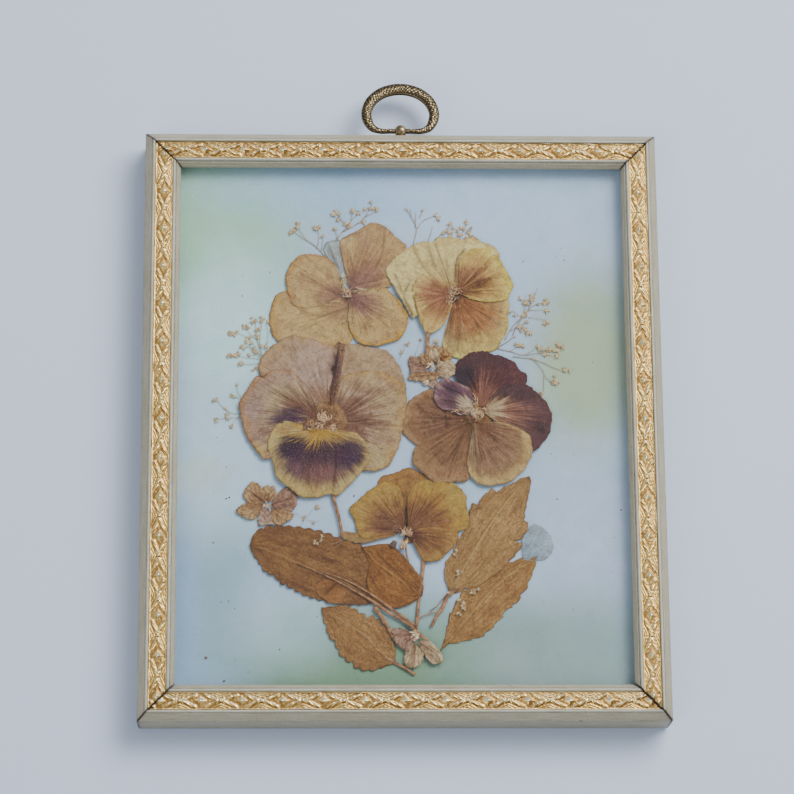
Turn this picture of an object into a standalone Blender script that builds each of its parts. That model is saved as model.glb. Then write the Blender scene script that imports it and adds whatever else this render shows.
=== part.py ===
"""Pressed flower frame: a small cream and gilt picture frame lying on its back, with five pansies,
leaves, florets and twigs pressed between a painted card and the glass, and a swinging brass ring.

Metres, +Z out of the picture, +Y towards the hanging ring, origin at the middle of the back.
"""

import math

import bmesh
import bpy
import numpy as np
from mathutils import Vector

MM = 0.001

# Driving dimensions, in millimetres.
FRAME_W = 168.6  # over the outer sides
FRAME_H = 196.1
FRAME_TOP = 16.0  # top of the beads
DUST_PAPER = 0.35  # thickness of the paper over the back
GAP = 0.3  # between pieces that touch
MITRE_GAP = 0.12  # half of the open line at each corner

RAIL_W = 11.75  # outer side to sight edge
SIDE_TOP = 13.05  # where the outer side meets the outer slope
RABBET_W = 4.6  # how far glass and boards reach under the lip
RABBET_Z = 12.8

GLASS = 1.65
CARD = 0.5
BOARD = 2.0
BOARD_Z = 5.7  # an empty space is left between the board and the paper
CARD_Z = BOARD_Z + BOARD + 0.25
GLASS_Z = RABBET_Z - GAP - GLASS

LAYER = 0.3  # from one pressed piece to the next above it
PETAL = 0.18  # thickness of a pressed petal or leaf
FIRST_LAYER_Z = CARD_Z + CARD + 0.15

# The bouquet was laid out about its own middle, which sits here on the card.
BOUQUET = (0.10, 0.90)

RING_Z = 10.0  # height of the ring's swing axis
EYE_R = 2.15
EYE_BORE = 1.1
EYE_SHANK = 0.9
SHANK_LENGTH = 5.6
RING_Y = FRAME_H / 2 + GAP + EYE_R
RING_DROP_DEG = 10.0  # the ring lies back a little below level
RING_RANGE = (-80, 105)

# Half of the ring's centre line, as (across, out from the axis), from the eye round to the top.
RING_LINE = [(0, 0), (3.0, 0), (6.0, 0.25), (9.2, 2.0), (11.1, 5.5), (10.7, 9.8), (7.9, 13.8), (4.0, 15.75)]
RING_TOP = 16.2

COLOURS = {
    "painted_rail": ((0.62, 0.58, 0.47), 0.5, 0.0),
    "glass": ((0.92, 0.97, 0.96), 0.03, 0.0),
    "card": ((0.60, 0.70, 0.70), 0.85, 0.0),
    "board": ((0.42, 0.36, 0.27), 0.9, 0.0),
    "kraft": ((0.45, 0.31, 0.17), 0.85, 0.0),
    "brass": ((0.50, 0.38, 0.16), 0.35, 1.0),
    "petal_buff": ((0.52, 0.37, 0.19), 0.75, 0.0),
    "petal_cream": ((0.60, 0.52, 0.26), 0.75, 0.0),
    "petal_mauve": ((0.45, 0.30, 0.24), 0.75, 0.0),
    "petal_purple": ((0.13, 0.06, 0.09), 0.7, 0.0),
    "petal_gold": ((0.55, 0.35, 0.12), 0.75, 0.0),
    "petal_faded": ((0.48, 0.50, 0.46), 0.75, 0.0),
    "flower_centre": ((0.62, 0.50, 0.32), 0.8, 0.0),
    "leaf": ((0.36, 0.20, 0.08), 0.75, 0.0),
    "stem": ((0.36, 0.20, 0.10), 0.8, 0.0),
    "floret": ((0.48, 0.34, 0.22), 0.8, 0.0),
    "twig": ((0.47, 0.38, 0.26), 0.85, 0.0),
}

# Each petal: its layer, its finish, and the points its edge runs through. The first point is the heel.
PANSIES = {
    "pansy_1": {
        "centre": (-18.4, 43.0, 2.9, 2.3, 4),
        "upper_left": (2, "petal_buff", [
            (-19.6, 42.8), (-20.8, 48.0), (-22.8, 54.0), (-27.0, 56.2), (-31.5, 56.5), (-35.6, 54.2),
            (-37.6, 48.5), (-37.2, 42.0), (-34.2, 38.3), (-29.0, 38.4), (-23.5, 40.2)]),
        "lower_left": (1, "petal_buff", [
            (-18.5, 41.5), (-24.0, 43.0), (-32.0, 44.5), (-38.5, 44.0), (-42.0, 40.2), (-43.4, 35.0),
            (-42.6, 29.5), (-39.5, 25.6), (-33.0, 24.6), (-26.0, 24.4), (-20.0, 25.2), (-15.5, 28.5),
            (-15.5, 36.0)]),
        "top": (2, "petal_buff", [
            (-17.0, 44.8), (-17.5, 49.5), (-19.2, 56.0), (-20.2, 61.6), (-15.0, 63.4), (-9.8, 67.3),
            (-5.0, 65.6), (0.3, 60.6), (1.8, 57.0), (-1.5, 50.5), (-5.2, 45.2), (-11.0, 44.6)]),
        "lower_right": (3, "petal_buff", [
            (-16.6, 42.4), (-12.5, 44.0), (-7.5, 44.9), (-3.6, 42.2), (0.2, 38.0), (1.7, 35.0),
            (0.6, 30.2), (-2.6, 27.0), (-8.0, 25.0), (-13.4, 25.8), (-16.8, 29.2), (-17.9, 34.5),
            (-17.4, 39.5)]),
        "faded": (1, "petal_faded", [
            (-18.4, 45.6), (-21.5, 52.5), (-25.5, 57.0), (-25.4, 60.0), (-23.0, 61.6), (-20.3, 61.2),
            (-18.6, 56.0), (-17.0, 50.0)]),
    },
    "pansy_2": {
        "centre": (17.4, 42.4, 2.6, 2.4, 6),
        "left_back": (4, "petal_cream", [
            (16.0, 43.5), (15.2, 46.8), (12.6, 54.0), (10.6, 60.2), (6.0, 60.6), (2.0, 58.6), (-2.8, 54.4),
            (-5.3, 50.4), (-3.6, 45.0), (-0.4, 39.6), (3.2, 34.4), (5.5, 36.0), (10.0, 38.0)]),
        "left_front": (5, "petal_cream", [
            (16.2, 42.8), (14.0, 46.6), (9.0, 48.8), (4.0, 47.5), (1.2, 43.5), (3.0, 38.6), (5.2, 34.0),
            (7.0, 29.9), (8.6, 29.2), (12.6, 31.2), (15.2, 35.2), (16.4, 39.6)]),
        "top": (3, "petal_cream", [
            (16.6, 44.0), (14.6, 49.0), (12.4, 54.5), (10.8, 60.2), (13.0, 63.0), (18.0, 63.8),
            (23.8, 63.0), (28.0, 60.8), (30.9, 58.6), (27.0, 53.0), (20.5, 47.0)]),
        "right": (4, "petal_cream", [
            (18.0, 43.4), (17.8, 49.5), (18.6, 55.0), (20.6, 58.8), (25.2, 60.6), (30.3, 59.0),
            (32.8, 53.4), (35.6, 49.2), (36.8, 45.2), (34.4, 41.6), (27.0, 39.5), (20.5, 40.2)]),
        "bottom": (1, "petal_cream", [
            (18.2, 41.0), (16.6, 36.5), (14.2, 31.0), (12.8, 26.2), (15.6, 22.4), (20.0, 20.9),
            (25.0, 22.0), (30.2, 24.6), (33.4, 28.4), (34.8, 33.6), (34.9, 39.4), (33.0, 42.6),
            (26.0, 43.0), (20.5, 42.8)]),
    },
    "pansy_3": {
        "centre": (-26.2, 0.0, 3.4, 3.0, 6),
        "top_left": (3, "petal_mauve", [
            (-25.6, 3.0), (-23.4, 9.0), (-21.8, 15.5), (-20.4, 21.5), (-20.6, 25.0), (-25.5, 25.6),
            (-31.0, 27.6), (-36.5, 28.9), (-41.8, 26.6), (-45.4, 22.4), (-46.9, 17.0), (-45.4, 14.4),
            (-38.0, 10.0), (-30.0, 5.0)]),
        "top_right": (2, "petal_mauve", [
            (-24.6, 3.0), (-22.4, 9.5), (-20.6, 16.0), (-19.4, 23.0), (-17.0, 26.4), (-11.0, 26.2),
            (-5.4, 23.8), (-2.0, 20.6), (0.2, 15.6), (0.9, 10.0), (0.2, 4.0), (-8.0, 0.0), (-18.0, 0.0)]),
        "left": (4, "petal_mauve", [
            (-27.6, 0.5), (-28.4, 6.0), (-31.0, 12.6), (-36.2, 16.9), (-41.5, 16.6), (-47.0, 13.8),
            (-51.0, 8.8), (-52.9, 2.6), (-51.8, -3.6), (-49.6, -8.2), (-47.8, -12.6), (-43.6, -13.2),
            (-38.0, -9.0), (-31.0, -3.5)]),
        "right": (3, "petal_mauve", [
            (-23.4, -0.5), (-22.3, 6.0), (-19.8, 12.8), (-14.5, 16.0), (-8.0, 17.2), (-2.6, 14.6),
            (0.2, 9.6), (0.9, 2.6), (-0.2, -4.4), (-2.8, -10.2), (-6.6, -15.4), (-12.4, -16.9),
            (-16.0, -12.0), (-20.0, -5.0)]),
        "lip": (5, "petal_mauve", [
            (-27.0, -3.2), (-32.5, -1.6), (-37.0, -0.2), (-41.4, -2.9), (-43.8, -8.0), (-42.2, -14.0),
            (-40.0, -20.2), (-34.6, -25.4), (-28.0, -25.6), (-21.4, -25.5), (-16.2, -21.4),
            (-12.6, -15.6), (-11.2, -10.4), (-12.6, -5.8), (-17.0, -3.6), (-22.5, -4.2)]),
    },
    "pansy_4": {
        "centre": (23.6, 2.2, 3.0, 2.8, 6),
        "top": (2, "petal_purple", [
            (24.6, 6.0), (22.6, 9.6), (18.6, 12.6), (16.4, 15.4), (18.0, 19.4), (21.2, 22.2), (25.0, 23.6),
            (30.0, 22.8), (35.4, 20.6), (38.6, 17.2), (40.3, 14.2), (39.4, 11.0), (33.0, 8.0), (28.0, 5.0)]),
        "right": (3, "petal_purple", [
            (26.5, 4.0), (29.6, 8.4), (32.4, 12.2), (36.4, 12.5), (40.4, 11.8), (45.0, 7.8), (47.6, 4.2),
            (48.5, 0.6), (47.2, -4.0), (44.8, -7.8), (41.8, -10.0), (37.0, -6.0), (30.0, -1.0)]),
        "left": (1, "petal_mauve", [
            (20.0, 1.6), (15.0, 5.0), (10.4, 10.9), (5.4, 9.2), (2.0, 5.8), (0.2, 1.2), (0.1, -4.2),
            (4.8, -8.2), (10.0, -6.5), (16.0, -3.0)]),
        "lower_left": (4, "petal_mauve", [
            (21.8, -0.6), (14.0, -1.5), (7.5, -4.5), (4.4, -8.6), (2.8, -13.0), (4.6, -17.2), (9.6, -20.8),
            (14.6, -19.9), (18.4, -20.9), (21.6, -18.6), (23.0, -10.0)]),
        "lower_right": (5, "petal_mauve", [
            (23.4, -1.0), (28.5, -0.8), (34.0, -1.4), (38.4, -3.8), (41.4, -8.4), (41.4, -13.0),
            (38.6, -17.2), (33.8, -20.6), (28.6, -21.8), (24.2, -21.2), (20.7, -17.0), (21.2, -9.0),
            (22.2, -3.6)]),
        "small": (4, "petal_purple", [
            (22.8, 4.6), (20.8, 8.8), (21.8, 10.4), (17.4, 12.8), (12.6, 14.3), (10.2, 11.8), (9.8, 8.0),
            (12.2, 4.0), (15.8, 2.6), (19.6, 1.9)]),
    },
    "pansy_5": {
        "centre": (0.6, -37.6, 2.7, 2.3, 5),
        "left": (3, "petal_gold", [
            (-0.6, -37.0), (0.6, -31.0), (0.2, -25.2), (-3.0, -20.8), (-8.0, -21.6), (-12.8, -24.8),
            (-17.2, -28.4), (-16.6, -33.4), (-14.6, -38.2), (-9.4, -39.2), (-4.2, -38.4)]),
        "right": (3, "petal_gold", [
            (1.4, -36.6), (1.3, -31.0), (1.5, -26.4), (3.6, -22.0), (8.4, -20.8), (14.4, -20.9),
            (18.6, -23.2), (20.4, -27.4), (21.0, -32.4), (19.6, -36.6), (15.6, -37.4), (9.0, -36.6),
            (4.0, -36.4)]),
        "top": (2, "petal_gold", [
            (0.6, -30.0), (-6.0, -25.6), (-13.0, -25.0), (-9.8, -21.8), (-6.0, -18.4), (-1.5, -17.2),
            (2.2, -15.8), (6.0, -17.8), (9.8, -20.4), (15.6, -20.6), (17.6, -22.6), (8.0, -26.0)]),
        "lower_right": (4, "petal_gold", [
            (1.4, -38.0), (4.4, -35.6), (9.6, -34.4), (14.6, -36.0), (17.2, -38.8), (16.2, -42.6),
            (13.4, -45.8), (8.4, -46.9), (5.2, -44.8), (3.0, -41.4)]),
        "folded": (4, "petal_gold", [
            (-20.2, -37.0), (-17.5, -38.2), (-13.5, -38.2), (-8.6, -39.6), (-13.5, -40.5), (-17.8, -40.1),
            (-20.4, -38.8)]),
    },
}

# Each leaf: its layer, how deep and how far apart its teeth are, and the points its edge runs through.
LEAVES = {
    "leaf_large": (1, 0.55, 4.6, [
        (-49.3, -41.5), (-47.6, -37.4), (-42.5, -35.2), (-35.0, -35.2), (-27.0, -37.0), (-20.0, -39.4),
        (-12.0, -42.0), (-7.0, -47.0), (-6.0, -54.0), (-9.0, -60.0), (-15.0, -60.8), (-21.0, -60.4),
        (-27.0, -58.8), (-34.0, -56.2), (-40.5, -52.2), (-46.0, -47.6), (-49.0, -44.6)]),
    "leaf_round": (2, 0.0, 4.0, [
        (-19.0, -39.8), (-12.0, -40.2), (-5.0, -40.9), (0.6, -45.0), (5.0, -50.4), (6.3, -55.4),
        (3.6, -59.6), (-3.0, -61.2), (-8.0, -59.6), (-11.6, -56.0), (-11.4, -50.6), (-14.0, -45.0)]),
    "leaf_lower_left": (1, 0.35, 4.2, [
        (-26.6, -61.6), (-22.0, -61.0), (-16.6, -61.5), (-11.6, -64.2), (-6.6, -67.4), (-4.0, -72.0),
        (-2.8, -78.4), (-6.0, -80.9), (-11.0, -81.9), (-15.8, -81.2), (-20.8, -76.6), (-24.2, -70.8),
        (-25.6, -65.6)]),
    "leaf_jagged": (1, 0.0, 4.0, [
        (12.4, -50.0), (13.2, -46.0), (16.0, -41.5), (20.0, -37.0), (21.3, -31.5), (21.0, -28.6),
        (22.5, -27.0), (24.0, -27.6), (25.2, -25.4), (28.6, -22.4), (29.6, -24.0), (32.5, -22.0),
        (36.5, -20.6), (40.2, -18.3), (41.1, -19.0), (40.6, -24.5), (39.2, -28.0), (39.5, -30.5),
        (38.5, -33.6), (40.2, -34.0), (39.9, -37.2), (38.2, -39.4), (35.2, -40.0), (38.6, -40.8),
        (35.5, -45.0), (31.0, -49.2), (26.5, -53.2), (21.0, -55.4), (16.0, -57.0), (13.4, -55.6)]),
    "leaf_lower_right": (0, 0.25, 5.0, [
        (42.4, -45.2), (37.5, -45.4), (31.0, -49.0), (22.0, -54.0), (17.6, -58.6), (15.0, -64.0),
        (13.6, -69.4), (11.2, -75.2), (12.2, -76.0), (16.0, -73.4), (24.6, -71.2), (29.6, -66.0),
        (35.6, -60.6), (39.6, -54.2), (41.8, -48.6)]),
}

# Each stem: its layer, its width and the points of its middle line.
STEMS = {
    "stem_pansy_2": (4, 1.5, [(8.4, 29.6), (8.2, 26.5), (8.1, 23.4), (8.5, 20.2)]),
    "stem_pansy_3": (3, 1.3, [(-23.0, -24.0), (-22.2, -28.4), (-21.2, -32.8), (-20.0, -37.6)]),
    "stem_pansy_5": (1, 1.2, [(6.2, -45.5), (5.8, -51.0), (5.2, -57.0), (4.4, -63.0), (3.6, -68.0)]),
    "stem_long_upper": (3, 1.1, [(-13.0, -56.4), (-7.0, -59.8), (-1.6, -64.0), (3.4, -68.4)]),
    "stem_long_lower": (3, 1.1, [(-27.0, -50.4), (-20.5, -53.2), (-12.0, -59.2), (-5.0, -63.9), (2.2, -69.2)]),
    "stem_right": (2, 1.3, [(15.0, -55.8), (12.6, -60.6), (10.4, -64.2), (8.2, -67.8)]),
}

# Each small cluster of florets, and each spray of twigs: its layer and its edge.
FLORETS = {
    "florets_middle": (3, [
        (2.2, 21.4), (5.4, 22.2), (8.4, 25.2), (12.0, 25.2), (15.6, 23.8), (16.4, 20.2), (16.8, 16.6),
        (14.6, 14.3), (9.4, 13.4), (5.0, 12.9), (1.8, 13.8), (4.2, 15.6), (2.4, 17.0)]),
    "florets_left": (2, [
        (-51.2, -23.6), (-48.4, -20.6), (-45.4, -22.6), (-42.0, -22.2), (-40.2, -24.2), (-36.0, -22.6),
        (-34.2, -26.2), (-36.4, -29.6), (-35.2, -32.2), (-39.0, -35.0), (-46.6, -35.1), (-47.2, -31.8),
        (-49.4, -33.0), (-53.9, -31.0), (-52.6, -28.0), (-49.6, -27.0)]),
    "florets_bottom": (4, [
        (-4.0, -68.6), (-0.2, -68.0), (3.4, -69.0), (6.6, -71.0), (10.2, -74.2), (12.4, -78.0), (10.6, -80.2),
        (7.6, -78.6), (5.8, -76.4), (5.4, -80.0), (2.2, -81.2), (0.0, -79.4), (-0.8, -76.2), (-3.0, -73.6)]),
}
SPRAYS = {
    "spray_top_left": [
        (-23.0, 53.5), (-37.2, 63.6), (-36.5, 67.2), (-27.0, 68.2), (-22.0, 73.8), (-16.0, 73.2),
        (-9.0, 76.2), (-5.8, 71.6), (-12.0, 65.0), (-18.0, 58.0)],
    "spray_top_middle": [
        (3.0, 58.0), (1.0, 71.0), (1.6, 74.0), (7.5, 73.8), (12.6, 71.0), (15.0, 67.0), (21.5, 69.0),
        (24.2, 65.0), (22.0, 59.0), (12.0, 56.0)],
    "spray_left": [
        (-43.0, 20.0), (-43.6, 34.8), (-49.0, 36.0), (-57.0, 30.4), (-57.8, 21.4), (-54.4, 17.0),
        (-55.0, 13.4), (-60.8, 7.4), (-61.4, -0.4), (-56.4, -3.4), (-51.0, 0.0), (-49.0, 9.0), (-46.0, 15.0)],
    "spray_right": [
        (29.0, 24.0), (33.0, 34.0), (36.0, 42.4), (43.0, 44.6), (49.6, 41.8), (48.8, 33.0), (52.8, 27.0),
        (54.8, 17.4), (50.8, 12.2), (46.6, 8.0), (44.0, 9.4), (44.6, 16.6), (37.0, 19.0)],
}


def clear_scene():
    for old in list(bpy.data.objects):
        bpy.data.objects.remove(old, do_unlink=True)


def make_material(name):
    colour, roughness, metallic = COLOURS[name]
    material = bpy.data.materials.new(name)
    material.use_nodes = True
    shader = material.node_tree.nodes["Principled BSDF"]
    shader.inputs["Base Color"].default_value = (*colour, 1.0)
    shader.inputs["Roughness"].default_value = roughness
    shader.inputs["Metallic"].default_value = metallic
    if name == "glass":
        shader.inputs["Transmission Weight"].default_value = 1.0
    return material


def add_object(name, mesh_maker, finish, smooth=False):
    """A new object whose mesh the given function builds in a bmesh, in metres."""
    shape = bmesh.new()
    mesh_maker(shape)
    bmesh.ops.recalc_face_normals(shape, faces=shape.faces)
    mesh = bpy.data.meshes.new(name)
    shape.to_mesh(mesh)
    shape.free()
    mesh.materials.append(MATERIALS[finish])
    if smooth:
        mesh.shade_smooth()
        mesh.set_sharp_from_angle(angle=math.radians(40))
    made = bpy.data.objects.new(name, mesh)
    bpy.context.scene.collection.objects.link(made)
    return made


def slab(width, depth, thickness, low_z, name, finish):
    """A flat board centred on the origin, its underside at low_z."""

    def build(shape):
        bmesh.ops.create_cube(shape, size=1.0)
        bmesh.ops.scale(shape, vec=Vector((width, depth, thickness)) * MM, verts=shape.verts)
        bmesh.ops.translate(shape, vec=(0, 0, (low_z + thickness / 2) * MM), verts=shape.verts)

    return add_object(name, build, finish)


def smooth_loop(points, per_span):
    """A closed curve through the points: a Catmull-Rom spline, with per_span points on each span."""
    corner = np.array(points, float)
    before, after, beyond = np.roll(corner, 1, 0), np.roll(corner, -1, 0), np.roll(corner, -2, 0)
    t = (np.arange(per_span) / per_span)[None, :, None]
    a, b, c, d = (side[:, None, :] for side in (before, corner, after, beyond))
    curve = 0.5 * (2 * b + (c - a) * t + (2 * a - 5 * b + 4 * c - d) * t**2 + (3 * b - a - 3 * c + d) * t**3)
    return curve.reshape(-1, 2)


def toothed(loop, depth, pitch):
    """The loop with saw teeth: each point is pushed out by a ramp that restarts every pitch of its length."""
    step = np.roll(loop, -1, 0) - np.roll(loop, 1, 0)
    outward = np.stack([step[:, 1], -step[:, 0]], 1)
    outward /= np.linalg.norm(outward, axis=1, keepdims=True)
    area = np.cross(loop, np.roll(loop, -1, 0)).sum()
    along = np.concatenate([[0], np.cumsum(np.linalg.norm(np.diff(loop, axis=0), axis=1))])
    ramp = (along / pitch) % 1.0 - 0.5
    return loop + np.sign(area) * outward * (ramp * depth)[:, None]


def layer_z(layer):
    return FIRST_LAYER_Z + layer * LAYER


def plate(name, loop, layer, finish, thickness=PETAL):
    """A pressed piece: the loop as a flat face, extruded to its thickness, on its layer."""
    placed = np.asarray(loop) + BOUQUET

    def build(shape):
        low = layer_z(layer) * MM
        edge = [shape.verts.new((x * MM, y * MM, low)) for x, y in placed]
        face = shape.faces.new(edge)
        risen = bmesh.ops.extrude_face_region(shape, geom=[face])["geom"]
        tops = [part for part in risen if isinstance(part, bmesh.types.BMVert)]
        bmesh.ops.translate(shape, vec=(0, 0, thickness * MM), verts=tops)
        bmesh.ops.triangulate(shape, faces=shape.faces)

    return add_object(name, build, finish)


def ribbon(points, width):
    """The edge of a strip of the given width along a middle line, a little narrower at its far end."""
    line = np.array(points, float)
    ways = np.gradient(line, axis=0)
    ways /= np.linalg.norm(ways, axis=1, keepdims=True)
    across = np.stack([-ways[:, 1], ways[:, 0]], 1)
    half = np.linspace(0.5, 0.4, len(line))[:, None] * width
    return np.concatenate([line + across * half, (line - across * half)[::-1]])


def button(name, x, y, across, along, layer):
    """The knot of dried parts at a flower's middle: a low dome on an oval foot."""
    sides, rise = 16, 0.28
    turn = np.arange(sides) * 2 * math.pi / sides

    def build(shape):
        low = layer_z(layer)
        rings = []
        for share, height in ((1.0, 0.0), (0.9, 0.5), (0.5, 1.0)):
            rim = [
                ((x + BOUQUET[0] + across * share * math.cos(a)) * MM,
                 (y + BOUQUET[1] + along * share * math.sin(a)) * MM,
                 (low + rise * height) * MM)
                for a in turn
            ]
            rings.append([shape.verts.new(point) for point in rim])
        for lower, upper in zip(rings, rings[1:]):
            for i in range(sides):
                j = (i + 1) % sides
                shape.faces.new((lower[i], lower[j], upper[j], upper[i]))
        shape.faces.new(rings[0][::-1])
        shape.faces.new(rings[-1])

    return add_object(name, build, "flower_centre")


def rail_profile():
    """The moulding's cross-section as (distance in from the outer side, height)."""
    low = DUST_PAPER + 0.25
    lip = RAIL_W
    return [
        (0.0, low), (0.0, SIDE_TOP), (2.2, 15.45), (2.75, FRAME_TOP), (3.45, 15.9), (3.7, 15.55),
        (6.3, 15.75), (9.0, 15.55), (9.3, 15.9), (10.1, FRAME_TOP), (10.5, 15.7), (lip, 13.2),
        (lip, RABBET_Z), (lip - RABBET_W, RABBET_Z), (lip - RABBET_W, low),
    ]


def rail(name, half_length, half_across, side):
    """A mitred rail. side is the quarter turn from the bottom rail: 0 bottom, 1 right, 2 top, 3 left."""
    profile = rail_profile()
    cos, sin = round(math.cos(side * math.pi / 2)), round(math.sin(side * math.pi / 2))

    def build(shape):
        ends = []
        for way in (-1, 1):
            ring = []
            for inward, z in profile:
                along = way * (half_length - inward - MITRE_GAP)
                across = inward - half_across
                place = (along * cos - across * sin, along * sin + across * cos, z)
                ring.append(shape.verts.new(Vector(place) * MM))
            ends.append(ring)
        for i in range(len(profile)):
            j = (i + 1) % len(profile)
            shape.faces.new((ends[0][i], ends[0][j], ends[1][j], ends[1][i]))
        shape.faces.new(ends[0])
        shape.faces.new(ends[1])

    return add_object(name, build, "painted_rail")


def rod(name, radius, start, end, sides=20):
    """A helper cylinder between two points, in millimetres, kept out of the model."""
    way = Vector(end) - Vector(start)
    turn = way.to_track_quat("Z", "Y").to_matrix().to_4x4()

    def build(shape):
        bmesh.ops.create_cone(
            shape, cap_ends=True, segments=sides, radius1=radius * MM, radius2=radius * MM,
            depth=way.length * MM, matrix=turn,
        )
        bmesh.ops.translate(shape, vec=(Vector(start) + way / 2) * MM, verts=shape.verts)

    helper = add_object(name, build, "brass")
    helper.hide_render = True
    helper.display_type = "WIRE"
    return helper


def combine(target, other, operation):
    step = target.modifiers.new(f"{operation.lower()}_{other.name}", "BOOLEAN")
    step.operation = operation
    step.object = other
    step.solver = "EXACT"


def make_frame():
    half_w, half_h = FRAME_W / 2, FRAME_H / 2
    rail("rail_bottom", half_w, half_h, 0)
    rail("rail_right", half_h, half_w, 1)
    top = rail("rail_top", half_w, half_h, 2)
    rail("rail_left", half_h, half_w, 3)
    hole_end = half_h - SHANK_LENGTH - 2 * GAP
    drill = rod("shank_drill", EYE_SHANK + GAP, (0, half_h + 1, RING_Z), (0, hole_end, RING_Z))
    combine(top, drill, "DIFFERENCE")


def make_filling():
    wide = FRAME_W - 2 * (RAIL_W - RABBET_W) - 2 * GAP
    tall = FRAME_H - 2 * (RAIL_W - RABBET_W) - 2 * GAP
    slab(wide, tall, GLASS, GLASS_Z, "glass_pane", "glass")
    slab(wide, tall, CARD, CARD_Z, "painted_card", "card")
    slab(wide, tall, BOARD, BOARD_Z, "backing_board", "board")
    slab(FRAME_W - 5, FRAME_H - 5, DUST_PAPER, 0.0, "dust_paper", "kraft")


def make_eye():
    """A turned ball with a cross bore for the ring, on a shank that goes into the top rail."""

    def build(shape):
        bmesh.ops.create_uvsphere(shape, u_segments=24, v_segments=14, radius=EYE_R * MM)
        bmesh.ops.translate(shape, vec=Vector((0, RING_Y, RING_Z)) * MM, verts=shape.verts)

    eye = add_object("ring_eye", build, "brass", smooth=True)
    shank_end = FRAME_H / 2 - SHANK_LENGTH
    shank = rod("shank", EYE_SHANK, (0, RING_Y - EYE_R / 2 - 0.5, RING_Z), (0, shank_end, RING_Z), 16)
    bore = rod("bore", EYE_BORE, (-4, RING_Y, RING_Z), (4, RING_Y, RING_Z), 24)
    combine(eye, shank, "UNION")
    combine(eye, bore, "DIFFERENCE")


def make_ring():
    """The ring: an oval section carried along its centre line, thin at the eye and broad at the top."""
    half = RING_LINE + [(0, RING_TOP)]
    other_half = [(-x, y) for x, y in reversed(half[1:-1])]
    line = smooth_loop(half + other_half, 3)
    ways = np.roll(line, -1, 0) - np.roll(line, 1, 0)
    ways /= np.linalg.norm(ways, axis=1, keepdims=True)
    out = np.stack([ways[:, 1], -ways[:, 0]], 1)
    in_eye = np.abs(line[:, 0]) < 3.1
    broad = np.interp(line[:, 1], (0, 1, 5, RING_TOP), (0.9, 1.1, 1.65, 2.0))
    thick = np.interp(line[:, 1], (0, 3, RING_TOP), (0.8, 1.0, 1.2))
    broad = np.where(in_eye & (line[:, 1] < 3), 0.75, broad)
    thick = np.where(in_eye & (line[:, 1] < 3), 0.75, thick)
    sides = 10
    turn = np.arange(sides) * 2 * math.pi / sides

    def build(shape):
        rings = []
        for point, way, wide, deep in zip(line, out, broad, thick):
            x = point[0] + way[0] * wide * np.cos(turn)
            y = point[1] + way[1] * wide * np.cos(turn)
            z = deep * np.sin(turn)
            rings.append([shape.verts.new(Vector(p) * MM) for p in zip(x, y, z)])
        for first, second in zip(rings, rings[1:] + rings[:1]):
            for i in range(sides):
                j = (i + 1) % sides
                shape.faces.new((first[i], first[j], second[j], second[i]))

    axle = bpy.data.objects.new("ring_axis", None)
    bpy.context.scene.collection.objects.link(axle)
    axle.location = Vector((0, RING_Y, RING_Z)) * MM
    ring = add_object("hanging_ring", build, "brass", smooth=True)
    ring.parent = axle
    ring.rotation_euler.x = -math.radians(RING_DROP_DEG)
    ring["swing_range_deg"] = RING_RANGE


def make_bouquet():
    for flower, parts in PANSIES.items():
        for part, value in parts.items():
            if part == "centre":
                button(f"{flower}_centre", *value)
            else:
                layer, finish, points = value
                plate(f"{flower}_petal_{part}", smooth_loop(points, 3), layer, finish)
    for name, (layer, depth, pitch, points) in LEAVES.items():
        plate(name, toothed(smooth_loop(points, 5 if depth else 3), depth, pitch), layer, "leaf")
    for name, (layer, width, points) in STEMS.items():
        plate(name, ribbon(points, width), layer, "stem", thickness=0.24)
    for name, (layer, points) in FLORETS.items():
        plate(name, smooth_loop(points, 3), layer, "floret")
    for name, points in SPRAYS.items():
        plate(name, points, 0, "twig")


clear_scene()
MATERIALS = {name: make_material(name) for name in COLOURS}
make_frame()
make_filling()
make_eye()
make_ring()
make_bouquet()
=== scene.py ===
import math

import bmesh
import bpy
import numpy as np
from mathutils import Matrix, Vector


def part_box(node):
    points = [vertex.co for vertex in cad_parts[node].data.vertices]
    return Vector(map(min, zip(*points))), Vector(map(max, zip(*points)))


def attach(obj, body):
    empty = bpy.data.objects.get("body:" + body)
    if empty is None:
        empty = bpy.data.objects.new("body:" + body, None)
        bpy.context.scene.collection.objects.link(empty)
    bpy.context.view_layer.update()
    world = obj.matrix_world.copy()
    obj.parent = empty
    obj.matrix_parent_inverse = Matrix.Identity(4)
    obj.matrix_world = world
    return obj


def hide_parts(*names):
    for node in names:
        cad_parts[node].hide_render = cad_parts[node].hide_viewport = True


# Shapes are in millimetres until make_piece() writes them into a mesh in metres. The floor, lights and camera are in
# metres.
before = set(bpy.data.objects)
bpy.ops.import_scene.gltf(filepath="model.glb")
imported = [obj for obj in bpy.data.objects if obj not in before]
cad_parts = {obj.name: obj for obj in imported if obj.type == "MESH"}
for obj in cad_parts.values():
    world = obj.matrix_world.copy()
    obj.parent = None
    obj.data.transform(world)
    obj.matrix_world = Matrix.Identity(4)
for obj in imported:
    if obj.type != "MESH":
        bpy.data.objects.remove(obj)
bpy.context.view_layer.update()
MM = 0.001
BOUQUET = (0.10, 0.90)  # the bouquet was laid out about its own middle, which sits here on the card
CARD_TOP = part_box("painted_card")[1].z / MM
GLASS_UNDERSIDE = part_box("glass_pane")[0].z / MM
LAYER = 0.23  # how much higher each layer of the bouquet lies
FIRST_LAYER = 0.30  # how far layer 0 lies above the card
OVER_CARD, UNDER_GLASS = 0.16, 0.06  # the least room that a sheet leaves below and above itself
SHARED_SWELLS = (900, 901)  # the seeds of the swells that all petals and leaves share, so that they lie on one another
PETAL_SHEET, LEAF_SHEET = 0.09, 0.10


# ---------------------------------------------------------------- curves, relief and meshes


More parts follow.
